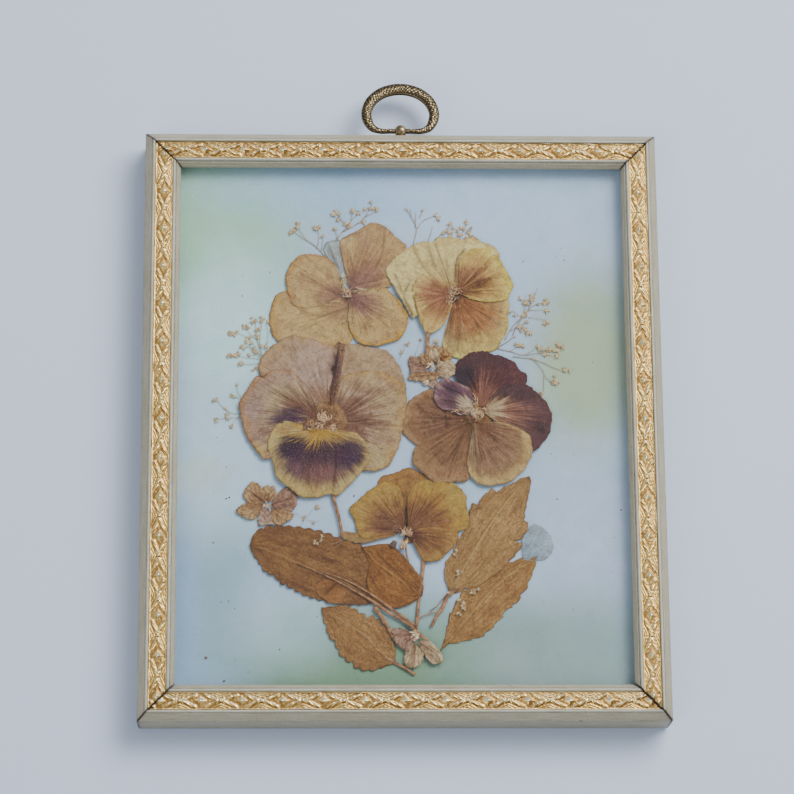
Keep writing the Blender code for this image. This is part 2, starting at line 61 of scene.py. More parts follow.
def curve_through(points, count, closed=False, sharp=False):
    """A Catmull-Rom curve through the points (straight runs if sharp), with count points spaced evenly by length."""
    p = np.asarray(points, float)
    if sharp:
        q = np.vstack([p, p[:1]]) if closed else p
    else:
        p = np.vstack([p[-1:], p, p[:2]]) if closed else np.vstack([2 * p[0] - p[1], p, 2 * p[-1] - p[-2]])
        t = np.linspace(0, 1, 20, endpoint=False)[None, :, None]
        a, b, c, d = (p[i:len(p) - 3 + i, None, :] for i in range(4))
        q = 0.5 * (2 * b + (c - a) * t + (2 * a - 5 * b + 4 * c - d) * t**2 + (3 * b - a - 3 * c + d) * t**3)
        q = np.vstack([q.reshape(-1, p.shape[1]), p[-2]])
    run = np.concatenate([[0], np.cumsum(np.linalg.norm(np.diff(q, axis=0), axis=1))])
    want = np.linspace(0, run[-1], count, endpoint=not closed)
    return np.stack([np.interp(want, run, q[:, k]) for k in range(q.shape[1])], 1)


def swell(x, y, size, seed, waves=9):
    """Soft random relief, about -1 to 1: a sum of sine waves in random directions, each about size long."""
    rng = np.random.default_rng(seed)
    turn, phase = rng.uniform(0, 2 * math.pi, (2, waves))
    pitch = 2 * math.pi / (size * rng.uniform(0.7, 1.6, waves))
    way = x[..., None] * np.cos(turn) + y[..., None] * np.sin(turn)
    return np.sin(way * pitch + phase).sum(-1) / math.sqrt(waves * 1.6)


def ragged(count, size, seed):
    """Random detail along an edge, about -1 to 1: swell() read along a line, in coarse and fine steps."""
    s = np.linspace(0, 100, count)
    return 0.6 * swell(s, s * 0, size, seed) + 0.4 * swell(s, s * 0, size / 3.1, seed + 1)


def near_line(x, y, line, width):
    """1 on a bent line and falling off to each side as a bell curve of the given width."""
    path = curve_through(line, 40)
    apart = np.full(x.shape, 1e9)
    for px, py in path:
        apart = np.minimum(apart, (x - px) ** 2 + (y - py) ** 2)
    return np.exp(-apart / width**2)


def lattice(nu, nv, wrap_u=False, wrap_v=False):
    """The four corners of every cell of a grid of nu by nv points, numbered row by row."""
    u, v = np.meshgrid(np.arange(nu - (not wrap_u)), np.arange(nv - (not wrap_v)), indexing="ij")
    u2, v2 = (u + 1) % nu, (v + 1) % nv
    return np.stack([u * nv + v, u2 * nv + v, u2 * nv + v2, u * nv + v2], -1).reshape(-1, 4)


def join(parts):
    """Several (points, quads, tris, map) parts as one."""
    starts = np.cumsum([0] + [len(part[0]) for part in parts])
    points = np.concatenate([part[0] for part in parts])
    quads = np.concatenate([part[1] + start for part, start in zip(parts, starts)])
    tris = np.concatenate([part[2] + start for part, start in zip(parts, starts)])
    return points, quads, tris, np.concatenate([part[3] for part in parts])


def tube(path, across, deep, sides=8, flat=(0, 0, 1)):
    """A closed rod: an ellipse, across wide in the plane and deep along flat, carried along the path and shut at both
    ends."""
    path = np.asarray(path, float)
    ways = np.gradient(path, axis=0)
    ways /= np.linalg.norm(ways, axis=1, keepdims=True) + 1e-9
    side = np.cross(ways, np.asarray(flat, float))
    side /= np.linalg.norm(side, axis=1, keepdims=True) + 1e-9
    up = np.cross(side, ways)
    turn = np.arange(sides) * 2 * math.pi / sides
    across = np.broadcast_to(across, len(path))[:, None, None]
    deep = np.broadcast_to(deep, len(path))[:, None, None]
    rings = path[:, None, :] + side[:, None, :] * across * np.cos(turn)[None, :, None]
    rings = rings + up[:, None, :] * deep * np.sin(turn)[None, :, None]
    n = len(path)
    points = np.vstack([rings.reshape(-1, 3), path[:1], path[-1:]])
    k = np.arange(sides)
    head = np.stack([np.full(sides, n * sides), (k + 1) % sides, k], 1)
    tail = np.stack([np.full(sides, n * sides + 1), (n - 1) * sides + k, (n - 1) * sides + (k + 1) % sides], 1)
    spot = np.stack(np.meshgrid(np.linspace(0, 1, n), np.arange(sides) / sides, indexing="ij"), -1).reshape(-1, 2)
    spot = np.vstack([spot, [[0, 0], [1, 0]]])
    return points, lattice(n, sides, wrap_v=True), np.vstack([head, tail]), spot


def pod(centre, radii, seed, sides=8, rows=5, rough=0.18):
    """A small closed seed or bud: a ball of sides by rows, stretched to radii and turned and dented at random."""
    rng = np.random.default_rng(seed)
    turn = np.arange(sides) * 2 * math.pi / sides
    rise = np.linspace(-0.5, 0.5, rows + 2)[1:-1] * math.pi
    ball = np.stack([
        np.cos(rise)[:, None] * np.cos(turn), np.cos(rise)[:, None] * np.sin(turn), np.sin(rise)[:, None] + 0 * turn
    ], -1)
    ball *= 1 + rough * rng.uniform(-1, 1, (rows, sides, 1))
    points = np.vstack([ball.reshape(-1, 3), [[0, 0, -1], [0, 0, 1]]])[:, [2, 0, 1]] * radii
    way = rng.uniform(0, 2 * math.pi)
    points = points @ np.array([[math.cos(way), math.sin(way), 0], [-math.sin(way), math.cos(way), 0], [0, 0, 1]])
    k = np.arange(sides)
    low = np.stack([np.full(sides, rows * sides), (k + 1) % sides, k], 1)
    top = np.stack([np.full(sides, rows * sides + 1), (rows - 1) * sides + k, (rows - 1) * sides + (k + 1) % sides],
                   1)
    spot = np.tile(rng.uniform(0, 1, 2), (len(points), 1))
    return points + centre, lattice(rows, sides, wrap_v=True), np.vstack([low, top]), spot


def make_piece(name, part, finishes, body, replaces=(), extra=None, caps=(), which=None, up=False):
    """Writes a part into a mesh with its UV map and named values, faces outwards, riding on its body."""
    points, quads, tris, spot = part
    mesh = bpy.data.meshes.new(name)
    mesh.from_pydata((points * MM).tolist(), [], quads.tolist() + tris.tolist() + [list(cap) for cap in caps])
    corner = np.empty(len(mesh.loops), np.int32)
    mesh.loops.foreach_get("vertex_index", corner)
    layer = mesh.uv_layers.new(name="Map")
    layer.data.foreach_set("uv", spot[corner].astype(np.float32).ravel())
    for key, value in (extra or {}).items():
        field = mesh.attributes.new(key, "FLOAT", "POINT")
        field.data.foreach_set("value", np.asarray(value, np.float32).ravel())
    for finish in finishes:
        mesh.materials.append(finish)
    if which is not None:
        faces = np.zeros(len(mesh.polygons), np.int32)
        faces[:len(which)] = which
        mesh.polygons.foreach_set("material_index", faces)
    shape = bmesh.new()
    shape.from_mesh(mesh)
    bmesh.ops.recalc_face_normals(shape, faces=shape.faces)
    if up and sum(face.normal.z for face in shape.faces) < 0:
        bmesh.ops.reverse_faces(shape, faces=shape.faces)
    shape.to_mesh(mesh)
    shape.free()
    mesh.shade_smooth()
    piece = bpy.data.objects.new(name, mesh)
    bpy.context.scene.collection.objects.link(piece)
    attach(piece, body)
    if replaces:
        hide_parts(*replaces)
    return piece


def thicken(piece, thickness):
    """Gives a sheet its thickness, below the modelled face."""
    wall = piece.modifiers.new("thickness", "SOLIDIFY")
    wall.thickness = thickness * MM
    wall.offset = -1


# ---------------------------------------------------------------- finishes


def tone(red, green, blue, depth=1.0, rich=1.2):
    """A finish colour given as 0 to 255 display values, as the linear colour a shader takes: its distance from grey is
    multiplied by rich, and then the whole by depth."""
    shown = np.array([red, green, blue]) / 255.0
    linear = np.where(shown <= 0.04045, shown / 12.92, ((shown + 0.055) / 1.055) ** 2.4)
    grey = linear @ [0.2126, 0.7152, 0.0722]
    linear = np.clip(grey + (linear - grey) * rich, 0.002, 1) * depth
    return (*np.clip(linear, 0.001, 0.95), 1.0)


DEPTH = {kind: np.array(depth) for kind, depth in {
    "tan": (0.89, 1.03, 1.15), "cream": (1.06, 1.02, 0.80), "mauve": (0.82, 0.92, 0.83), "purple": (0.60, 0.49, 0.44),
    "terracotta": (0.72, 0.94, 0.97), "gold": (0.67, 0.71, 0.82), "floret": (0.87, 0.93, 1.0), "ghost": (1, 1, 1),
    "leaf": (0.48, 0.42, 0.34)}.items()}


class Finish:
    """A material in the making: each method adds one node and gives back its output."""

    def __init__(self, name, roughness=0.7, **settings):
        self.material = bpy.data.materials.new(name)
        self.material.use_nodes = True
        self.nodes = self.material.node_tree.nodes
        self.links = self.material.node_tree.links
        self.shader = self.nodes["Principled BSDF"]
        self.shader.inputs["Roughness"].default_value = roughness
        for key, value in settings.items():
            self.shader.inputs[key.replace("_", " ")].default_value = value
        self.place = self.add("ShaderNodeTexCoord").outputs["Object"]
        self.mm = self.add("ShaderNodeVectorMath", {0: self.place, "Scale": 1000.0}, operation="SCALE").outputs[0]
        split = self.add("ShaderNodeSeparateXYZ", {0: self.mm})
        self.x, self.y = split.outputs[:2]

    def add(self, kind, inputs=None, **settings):
        node = self.nodes.new(kind)
        for key, value in settings.items():
            setattr(node, key, value)
        for key, value in (inputs or {}).items():
            if isinstance(value, bpy.types.NodeSocket):
                self.links.new(value, node.inputs[key])
            else:
                node.inputs[key].default_value = value
        return node

    def uv(self):
        split = self.add("ShaderNodeSeparateXYZ", {0: self.add("ShaderNodeUVMap", uv_map="Map").outputs[0]})
        return split.outputs[0], split.outputs[1]

    def value(self, name):
        return self.add("ShaderNodeAttribute", attribute_name=name).outputs["Fac"]

    def math(self, operation, a, b=0.0, clamp=False):
        return self.add("ShaderNodeMath", {0: a, 1: b}, operation=operation, use_clamp=clamp).outputs[0]

    def plus(self, a, b, clamp=False):
        return self.math("ADD", a, b, clamp)

    def less(self, a, b):
        return self.math("SUBTRACT", a, b)

    def times(self, a, b, clamp=False):
        return self.math("MULTIPLY", a, b, clamp)

    def vector(self, x, y, z=0.0):
        return self.add("ShaderNodeCombineXYZ", {0: x, 1: y, 2: z}).outputs[0]

    def noise(self, vector, scale, detail=3.0, rough=0.55, warp=0.0):
        inputs = {"Vector": vector, "Scale": scale, "Detail": detail, "Roughness": rough, "Distortion": warp}
        return self.add("ShaderNodeTexNoise", inputs).outputs["Fac"]

    def step(self, value, start, end, low=0.0, high=1.0):
        inputs = {"Value": value, "From Min": start, "From Max": end, "To Min": low, "To Max": high}
        return self.add("ShaderNodeMapRange", inputs, interpolation_type="SMOOTHSTEP").outputs[0]

    def blend(self, share, a, b, mode="MIX"):
        node = self.add("ShaderNodeMix", data_type="RGBA", blend_type=mode, clamp_factor=True)
        for key, value in ((0, share), (6, a), (7, b)):
            if isinstance(value, bpy.types.NodeSocket):
                self.links.new(value, node.inputs[key])
            else:
                node.inputs[key].default_value = value
        return node.outputs[2]

    def colour(self, value):
        self.links.new(value, self.shader.inputs["Base Color"])

    def roughness(self, value):
        self.links.new(value, self.shader.inputs["Roughness"])

    def bump(self, height, strength, distance):
        node = self.add("ShaderNodeBump", {"Height": height, "Strength": strength, "Distance": distance * MM})
        self.links.new(node.outputs[0], self.shader.inputs["Normal"])

    def patch(self, x, y, rx, ry, turn=0.0, jag=None, reach=0.3, soft=0.35):
        """A soft oval patch, 1 inside and 0 outside, whose edge the jag value pushes in and out."""
        c, s = math.cos(math.radians(turn)), math.sin(math.radians(turn))
        x, y = x + BOUQUET[0], y + BOUQUET[1]
        dx, dy = self.less(self.x, x), self.less(self.y, y)
        a = self.plus(self.times(dx, c / rx), self.times(dy, s / rx))
        b = self.plus(self.times(dx, -s / ry), self.times(dy, c / ry))
        far = self.math("SQRT", self.plus(*(self.math("POWER", self.math("ABSOLUTE", way), 2.0) for way in (a, b))))
        if jag is not None:
            far = self.plus(far, self.times(self.less(jag, 0.5), reach * 2))
        return self.step(far, 1.0 + soft, 1.0 - soft)


def petal_finish(name, seed, edge, middle, throat, mid=(0.75, 0.35), deep=(0.3, 0.08), jag=0.25, veins=0.35,
                 rays=26, rim=None, rim_at=(0.86, 1.0), patches=(), blotchy=0.25, dots=0.5):
    """Dried petal: throat, middle and edge colours that meet in ragged rays, dark veins that fan out from the heel in a
    coarse and a fine set, stains, mottling, a rim tint, a brown brink, and soft oval patches with rayed edges."""
    f = Finish(name, 0.62)
    f.shader.inputs["Specular IOR Level"].default_value = 0.12
    depth = DEPTH[name.split("_")[0]]
    rich = {"cream": 1.15, "purple": 1.1, "gold": 1.25}.get(name.split("_")[0], 1.35)

    def shade(display):
        return tone(*display, depth, rich)

    u, v = f.uv()
    broad = f.noise(f.vector(f.times(u, float(rays)), f.times(v, 1.2), float(seed)), 1.0, 4.0, 0.62)
    thin = f.noise(f.vector(f.times(u, rays * 3.6), f.times(v, 1.3), seed + 9.0), 1.0, 3.0, 0.62)
    ray = f.plus(f.times(broad, 1.7), f.times(thin, 1.5))
    ray = f.less(ray, 1.1)
    spread = f.plus(v, f.times(f.less(ray, 0.5), jag * 2))
    colour = f.blend(f.step(spread, mid[1], mid[0]), shade(middle), shade(edge))
    colour = f.blend(f.step(spread, deep[1], deep[0], 1.0, 0.0), colour, shade(throat))
    stain = f.noise(f.mm, 0.13, 4.0, 0.65, 0.6)
    colour = f.blend(f.step(stain, 0.42, 0.68, 0.0, blotchy * 1.6), colour, shade(throat))
    if rim:
        broken = f.plus(v, f.times(f.less(f.noise(f.mm, 0.35, 3.0), 0.5), 0.3))
        colour = f.blend(f.step(broken, rim_at[0], rim_at[1]), colour, shade(rim))
    for patch_colour, x, y, rx, ry, turn, soft, reach, strength in patches:
        mask = f.patch(x, y, rx, ry, turn, ray, reach, soft)
        colour = f.blend(f.times(mask, strength), colour, shade(patch_colour))
    stem = f.noise(f.vector(f.times(u, rays * 1.5), f.times(v, 0.8), seed + 4.0), 1.0, 3.0, 0.6)
    fade = f.step(v, 1.0, 0.45, 0.2, 1.0)
    line = f.plus(f.step(thin, 0.50, 0.58, 0.0, 0.8), f.step(stem, 0.53, 0.59, 0.0, 0.6), clamp=True)
    colour = f.blend(f.times(f.times(line, fade), min(1.0, veins * 2.1)), colour, (0.42, 0.30, 0.27, 1), "MULTIPLY")
    cloud = f.noise(f.mm, 0.32, 5.0, 0.7, 0.5)
    colour = f.blend(f.step(cloud, 0.44, 0.60, 0.0, 0.6), colour, (0.66, 0.58, 0.50, 1), "MULTIPLY")
    fleck = f.noise(f.mm, 1.5, 5.0, 0.75)
    colour = f.blend(f.step(fleck, 0.38, 0.52, 0.6, 0.0), colour, (0.62, 0.54, 0.48, 1), "MULTIPLY")
    colour = f.blend(f.step(fleck, 0.54, 0.66, 0.0, 0.03 if depth[0] < 0.6 else 0.13), colour,
                     tone(224, 206, 172, depth, 1.3))
    # painted shade: the petal is darkened along its creases and crumple valleys
    crease_shade = f.value("crease_shade")
    colour = f.blend(crease_shade, colour, (0.36, 0.28, 0.25, 1), "MULTIPLY")
    brink = f.plus(v, f.times(f.less(cloud, 0.5), 0.06))
    colour = f.blend(f.step(brink, 0.955, 1.0, 0.0, min(0.55, dots * 1.1)), colour, (0.64, 0.55, 0.46, 1), "MULTIPLY")
    rare = f.step(f.noise(f.mm, 0.9, 1.0, 0.4), 0.765, 0.80, 0.0, dots)
    colour = f.blend(rare, colour, shade((96, 66, 50)))
    f.colour(colour)
    grain = f.noise(f.mm, 3.2, 4.0, 0.65)
    height = f.plus(f.times(thin, 1.1), f.plus(f.times(grain, 0.5), f.times(fleck, 0.9)))
    f.bump(height, 0.9, 0.22)
    f.roughness(f.step(grain, 0.3, 0.7, 0.55, 0.8))
    return f.material


def leaf_finish(name, seed, light, dark, rib, depth, veins=9, slope=0.8):
    """Dried leaf: brown mottling and long dark wrinkles, a darker edge, and side veins that leave the midrib at a
    slant."""
    f = Finish(name, 0.6)
    f.shader.inputs["Specular IOR Level"].default_value = 0.15
    depth = np.array(depth)

    def shade(display):
        return tone(*display, depth, 1.1)

    u, v = f.uv()
    side = f.math("ABSOLUTE", v)
    wobble = f.times(f.less(f.noise(f.mm, 0.16, 2.0), 0.5), 0.9)
    run = f.plus(f.plus(f.times(u, float(veins)), f.times(side, slope * 2.0)), wobble)
    saw = f.math("ABSOLUTE", f.less(f.math("FRACT", run), 0.5))
    vein = f.step(saw, 0.06, 0.0)
    net = f.add("ShaderNodeTexVoronoi", {"Vector": f.mm, "Scale": 0.75, "Randomness": 1.0},
                feature="DISTANCE_TO_EDGE")
    web = f.step(net.outputs["Distance"], 0.09, 0.0)
    mottle = f.noise(f.mm, 0.13, 5.0, 0.68, 0.6)
    colour = f.blend(f.step(mottle, 0.34, 0.66), shade(dark), shade(light))
    long = f.noise(f.vector(f.times(u, 5.0), f.times(v, 9.0), float(seed)), 1.0, 5.0, 0.7, 0.8)
    colour = f.blend(f.step(long, 0.50, 0.60, 0.0, 0.8), colour, (0.62, 0.54, 0.47, 1), "MULTIPLY")
    colour = f.blend(f.step(long, 0.46, 0.38, 0.0, 0.45), colour, shade((206, 170, 124)))
    fleck = f.noise(f.mm, 1.3, 5.0, 0.75)
    colour = f.blend(f.step(fleck, 0.38, 0.54, 0.6, 0.0), colour, shade(rib))
    colour = f.blend(f.step(fleck, 0.53, 0.68, 0.0, 0.4), colour, shade((214, 182, 138)))
    colour = f.blend(f.step(side, 0.93, 1.0, 0.0, 0.6), colour, shade(rib))
    colour = f.blend(f.times(vein, 0.28), colour, shade(rib))
    colour = f.blend(f.times(web, 0.04), colour, shade(rib))
    colour = f.blend(f.step(side, 0.035, 0.01, 0.0, 0.4), colour, tone(214, 184, 140, depth * 1.1, 1.1))
    # painted shade: the leaf is darkened along its creases and crumple valleys
    colour = f.blend(f.times(f.value("crease_shade"), 0.8), colour, (0.42, 0.32, 0.26, 1), "MULTIPLY")
    f.colour(colour)
    height = f.plus(f.times(vein, 0.4), f.plus(f.times(web, 0.06), f.times(fleck, 0.9)))
    f.bump(f.plus(height, f.times(long, 2.2)), 0.9, 0.2)
    f.roughness(f.step(fleck, 0.3, 0.7, 0.5, 0.72))
    return f.material


def fibre_finish(name, pale, dark, grain=(0.5, 6.0)):
    """Dried stems, buds and stamens: pale and dark streaks along their length with fine grain."""
    f = Finish(name, 0.7)
    u, v = f.uv()
    streak = f.noise(f.vector(f.times(u, 6.0), f.times(v, 5.0)), 1.0, 3.0, 0.6)
    patch = f.noise(f.mm, grain[0], 3.0, 0.6)
    colour = f.blend(f.step(patch, 0.35, 0.65), tone(*dark), tone(*pale))
    colour = f.blend(f.step(streak, 0.4, 0.7, 0.0, 0.5), colour, tone(*dark))
    f.colour(colour)
    f.bump(f.plus(streak, f.noise(f.mm, grain[1], 3.0)), 0.6, 0.06)
    return f.material


def card_finish():
    """Watercolour card: pale blue ground with soft green, blue, white and warm washes, blooms, and a fine woven
    grain."""
    f = Finish("card_wash", 0.85)
    drift = f.noise(f.mm, 0.02, 5.0, 0.65, 0.8)
    colour = f.blend(f.step(f.noise(f.mm, 0.013, 3.0, 0.6), 0.35, 0.65), (0.40, 0.53, 0.70, 1), (0.45, 0.58, 0.76, 1))
    washes = [
        ((0.35, 0.60, 0.42), -62, 68, 26, 38, 0, 0.95), ((0.37, 0.47, 0.30), 60, 22, 16, 31, 0, 0.95),
        ((0.155, 0.28, 0.16), -4, -88, 56, 28, 0, 0.95), ((0.27, 0.38, 0.37), 50, -78, 32, 20, 10, 0.9),
        ((0.27, 0.42, 0.51), -66, -62, 18, 44, 0, 0.9), ((0.31, 0.45, 0.70), -73, -70, 8, 30, 0, 0.8),
        ((0.56, 0.82, 0.86), -56, 30, 18, 26, 0, 0.8), ((0.54, 0.73, 0.88), -58, -14, 18, 22, 0, 0.7),
        ((0.36, 0.56, 0.80), -6, 82, 50, 14, 0, 0.75), ((0.49, 0.64, 0.86), 36, 70, 32, 20, -12, 0.7),
        ((0.66, 0.68, 0.60), -66, -18, 9, 5, 10, 0.45), ((0.46, 0.64, 0.74), -36, -66, 16, 14, 0, 0.5),
        ((0.49, 0.56, 0.78), 56, -32, 20, 22, 0, 0.6), ((0.30, 0.47, 0.66), -71, -88, 12, 10, 0, 0.8),
    ]
    for wash, x, y, rx, ry, turn, strength in washes:
        mask = f.patch(x, y, rx, ry, turn, drift, 0.5, 0.6)
        colour = f.blend(f.times(mask, strength), colour, (*wash, 1))
    bloom = f.noise(f.mm, 0.09, 5.0, 0.7, 0.5)
    colour = f.blend(f.step(bloom, 0.44, 0.60, 0.0, 0.5), colour, (0.88, 0.92, 0.95, 1), "MULTIPLY")
    damp = f.noise(f.mm, 0.035, 4.0, 0.7, 0.8)
    colour = f.blend(f.step(damp, 0.46, 0.60, 0.0, 0.6), colour, (0.88, 0.97, 0.90, 1), "MULTIPLY")
    tooth = f.noise(f.mm, 1.6, 4.0, 0.7)
    colour = f.blend(f.step(tooth, 0.38, 0.65, 0.0, 0.35), colour, (0.84, 0.87, 0.88, 1), "MULTIPLY")
    thread = f.plus(f.math("SINE", f.times(f.x, 9.0)), f.math("SINE", f.times(f.y, 9.0)))
    f.colour(colour)
    f.bump(f.plus(f.times(thread, 0.16), f.plus(tooth, f.noise(f.mm, 0.4, 2.0))), 0.5, 0.12)
    return f.material


def paint_finish():
    """Old cream paint on the moulding: brush streaks along it, worn brown lines, a brown wash in the quirks and at the
    mitres, specks, and a darker olive tone on the slopes and outer sides that is painted shade."""
    f = Finish("cream_paint", 0.42)
    u, v = f.uv()
    brush = f.noise(f.vector(f.times(u, 0.10), f.times(v, 3.4)), 1.0, 5.0, 0.7)
    cloud = f.noise(f.mm, 0.09, 4.0, 0.65)
    colour = f.blend(f.step(brush, 0.32, 0.68), tone(182, 179, 162), tone(209, 209, 200))
    colour = f.blend(f.step(cloud, 0.4, 0.7, 0.0, 0.5), colour, tone(168, 168, 146))
    # painted shade: the slopes and outer sides get a darker olive tone of the same paint
    colour = f.blend(f.value("slope"), colour,
                     f.blend(f.step(brush, 0.3, 0.7), tone(144, 135, 112), tone(186, 179, 158)))
    rub = f.noise(f.vector(f.times(u, 0.16), f.times(v, 6.5), 3.0), 1.0, 4.0, 0.7)
    colour = f.blend(f.step(rub, 0.58, 0.70, 0.0, 0.5), colour, tone(128, 112, 88))
    grime = f.times(f.value("grime"), f.step(f.noise(f.mm, 0.6, 3.0, 0.6), 0.2, 0.7, 0.6, 1.0), clamp=True)
    colour = f.blend(grime, colour, tone(70, 60, 56))
    grain = f.noise(f.mm, 1.7, 3.0, 0.7)
    colour = f.blend(f.step(grain, 0.48, 0.58, 0.0, 0.5), colour, (0.78, 0.77, 0.73, 1), "MULTIPLY")
    speck = f.step(f.noise(f.mm, 0.8, 2.0, 0.5), 0.735, 0.77, 0.0, 0.8)
    colour = f.blend(speck, colour, tone(80, 66, 56))
    f.colour(colour)
    lumps = f.times(brush, 1.3)
    f.bump(f.plus(lumps, f.plus(rub, f.times(f.noise(f.mm, 1.2, 4.0), 0.6))), 0.45, 0.09)
    f.roughness(f.step(cloud, 0.3, 0.7, 0.35, 0.58))
    return f.material


def gilt_finish():
    """Gilt composition: bright metal on the raised strokes, paler at their tops as a painted highlight, and brown
    toning in the hollows, deepened as painted shade; painted shade on the lower sides of the strokes and a painted
    highlight on their upper sides, as if lit from above; worn unevenly."""
    f = Finish("gilding", 0.36, Metallic=0.8)
    height = f.value("relief")
    cloud = f.noise(f.mm, 0.35, 4.0, 0.65)
    level = f.plus(height, f.times(f.less(cloud, 0.5), 0.30))
    # brown toning in the hollows, deepened as painted shade, and pale tops of the strokes as a painted highlight
    colour = f.blend(f.step(level, 0.0, 0.22), (0.40, 0.22, 0.06, 1), (1.0, 0.72, 0.25, 1))
    colour = f.blend(f.step(level, 0.3, 0.95), colour, (1.0, 0.90, 0.52, 1))
    colour = f.blend(f.step(f.noise(f.mm, 0.12, 3.0), 0.5, 0.7, 0.0, 0.35), colour, (0.84, 0.56, 0.20, 1))
    # painted shade on the sides of the strokes that face down the frame
    side = f.step(f.value("shade"), 0.25, 0.75, 0.0, 0.9)
    colour = f.blend(side, colour, (0.34, 0.21, 0.10, 1), "MULTIPLY")
    # painted highlight on the sides of the strokes that face up the frame
    colour = f.blend(f.step(f.value("shade"), -0.2, -0.8, 0.0, 0.8), colour, (1.0, 0.95, 0.76, 1))
    rub = f.step(f.noise(f.mm, 0.8, 3.0, 0.7), 0.60, 0.68, 0.0, 0.55)
    colour = f.blend(rub, colour, (0.34, 0.18, 0.07, 1))
    colour = f.blend(f.value("grime"), colour, (0.10, 0.055, 0.03, 1))
    f.colour(colour)
    f.bump(f.noise(f.mm, 2.6, 4.0, 0.6), 0.4, 0.05)
    f.roughness(f.step(level, 0.1, 0.9, 0.38, 0.17))
    return f.material


def brass_finish():
    """Antique brass: black-brown patina in the engraving and rubbed bright on its high lines."""
    f = Finish("antique_brass", 0.36, Metallic=0.85)
    level = f.plus(f.value("relief"), f.times(f.less(f.noise(f.mm, 1.4, 4.0), 0.5), 0.6))
    colour = f.blend(f.step(level, 0.2, 0.7), (0.03, 0.023, 0.014, 1), (0.25, 0.19, 0.10, 1))
    colour = f.blend(f.step(level, 0.7, 1.05), colour, (0.72, 0.58, 0.36, 1))
    f.colour(colour)
    f.bump(f.noise(f.mm, 3.0, 4.0), 0.4, 0.05)
    f.roughness(f.step(level, 0.2, 0.9, 0.5, 0.25))
    return f.material


def kraft_finish():
    """Brown kraft paper: fine pulp fibres, faint ribs and a few stains."""
    f = Finish("kraft_paper", 0.82)
    pulp = f.noise(f.vector(f.times(f.x, 0.5), f.times(f.y, 2.4)), 1.0, 5.0, 0.7)
    colour = f.blend(f.step(pulp, 0.3, 0.7), tone(150, 116, 78), tone(178, 144, 102))
    colour = f.blend(f.step(f.noise(f.mm, 0.03, 4.0), 0.5, 0.75, 0.0, 0.5), colour, tone(134, 100, 64))
    colour = f.blend(f.step(f.noise(f.mm, 1.8, 2.0), 0.68, 0.74, 0.0, 0.6), colour, tone(104, 76, 48))
    f.colour(colour)
    f.bump(f.plus(pulp, f.noise(f.mm, 0.8, 3.0)), 0.5, 0.1)
    return f.material


def board_finish():
    """Grey backing board: mixed pulp with darker flecks."""
    f = Finish("pulp_board", 0.9)
    pulp = f.noise(f.mm, 1.1, 5.0, 0.7)
    colour = f.blend(f.step(pulp, 0.35, 0.65), tone(140, 132, 118), tone(170, 162, 146))
    f.colour(f.blend(f.step(f.noise(f.mm, 2.2, 2.0), 0.66, 0.72, 0.0, 0.7), colour, tone(90, 80, 70)))
    f.bump(pulp, 0.4, 0.1)
    return f.material


def glass_finish():
    """Clear picture glass."""
    f = Finish("picture_glass", 0.02, IOR=1.5)
    f.shader.inputs["Base Color"].default_value = (1, 1, 1, 1)
    f.shader.inputs["Transmission Weight"].default_value = 1.0
    return f.material


# ---------------------------------------------------------------- moulding

HALF_W, HALF_H = 84.3, 98.05
GILT_IN, GILT_OUT = 3.5, 9.1
BAND_MIDDLE = 6.3
MOTIF = 12.9  # how far it is from one boss of the pattern to the next
RELIEF = 0.86  # how high a stroke of height 1 stands
RAIL_STEP = 0.235  # the length of one step along a rail
RAIL_TOP = 16.0
SIDE_TOP = 12.9  # where the plain sides end and the moulded face begins
OUTER = [(7.15, 12.8), (7.15, 9.0), (7.15, 0.6), (3.6, 0.6), (0.12, 0.6), (0.0, 0.75), (0.0, 4.0), (0.0, 8.5),
         (0.0, 12.85), (0.1, 13.1), (0.35, 13.4), (0.9, 14.0), (1.5, 14.65), (2.1, 15.25), (2.38, 15.46),
         (2.52, 15.5), (2.6, 15.72), (2.78, 15.92), (3.0, 16.0), (3.2, 15.93), (3.36, 15.72), (3.42, 15.4),
         (3.46, 15.18)]
INNER = [
    (9.14, 15.15), (9.24, 15.3), (9.28, 15.55), (9.4, 15.78), (9.6, 15.88), (9.82, 15.86), (10.0, 15.72),
    (10.1, 15.46), (10.16, 15.14), (10.26, 14.96), (10.38, 14.96), (10.5, 15.04), (10.75, 14.75), (11.1, 14.2),
    (11.42, 13.62), (11.56, 13.5), (11.66, 13.4), (11.73, 13.2), (11.75, 13.0), (11.75, 12.8), (9.8, 12.8),
]
# The moulding's hollow lines: how far in each lies, its half width, and how dark the wash in it is.
QUIRKS = ((2.45, 0.12, 0.55), (3.44, 0.10, 0.8), (9.2, 0.10, 0.5), (10.3, 0.14, 0.9), (0.05, 0.10, 0.35),
          (11.6, 0.08, 0.4))


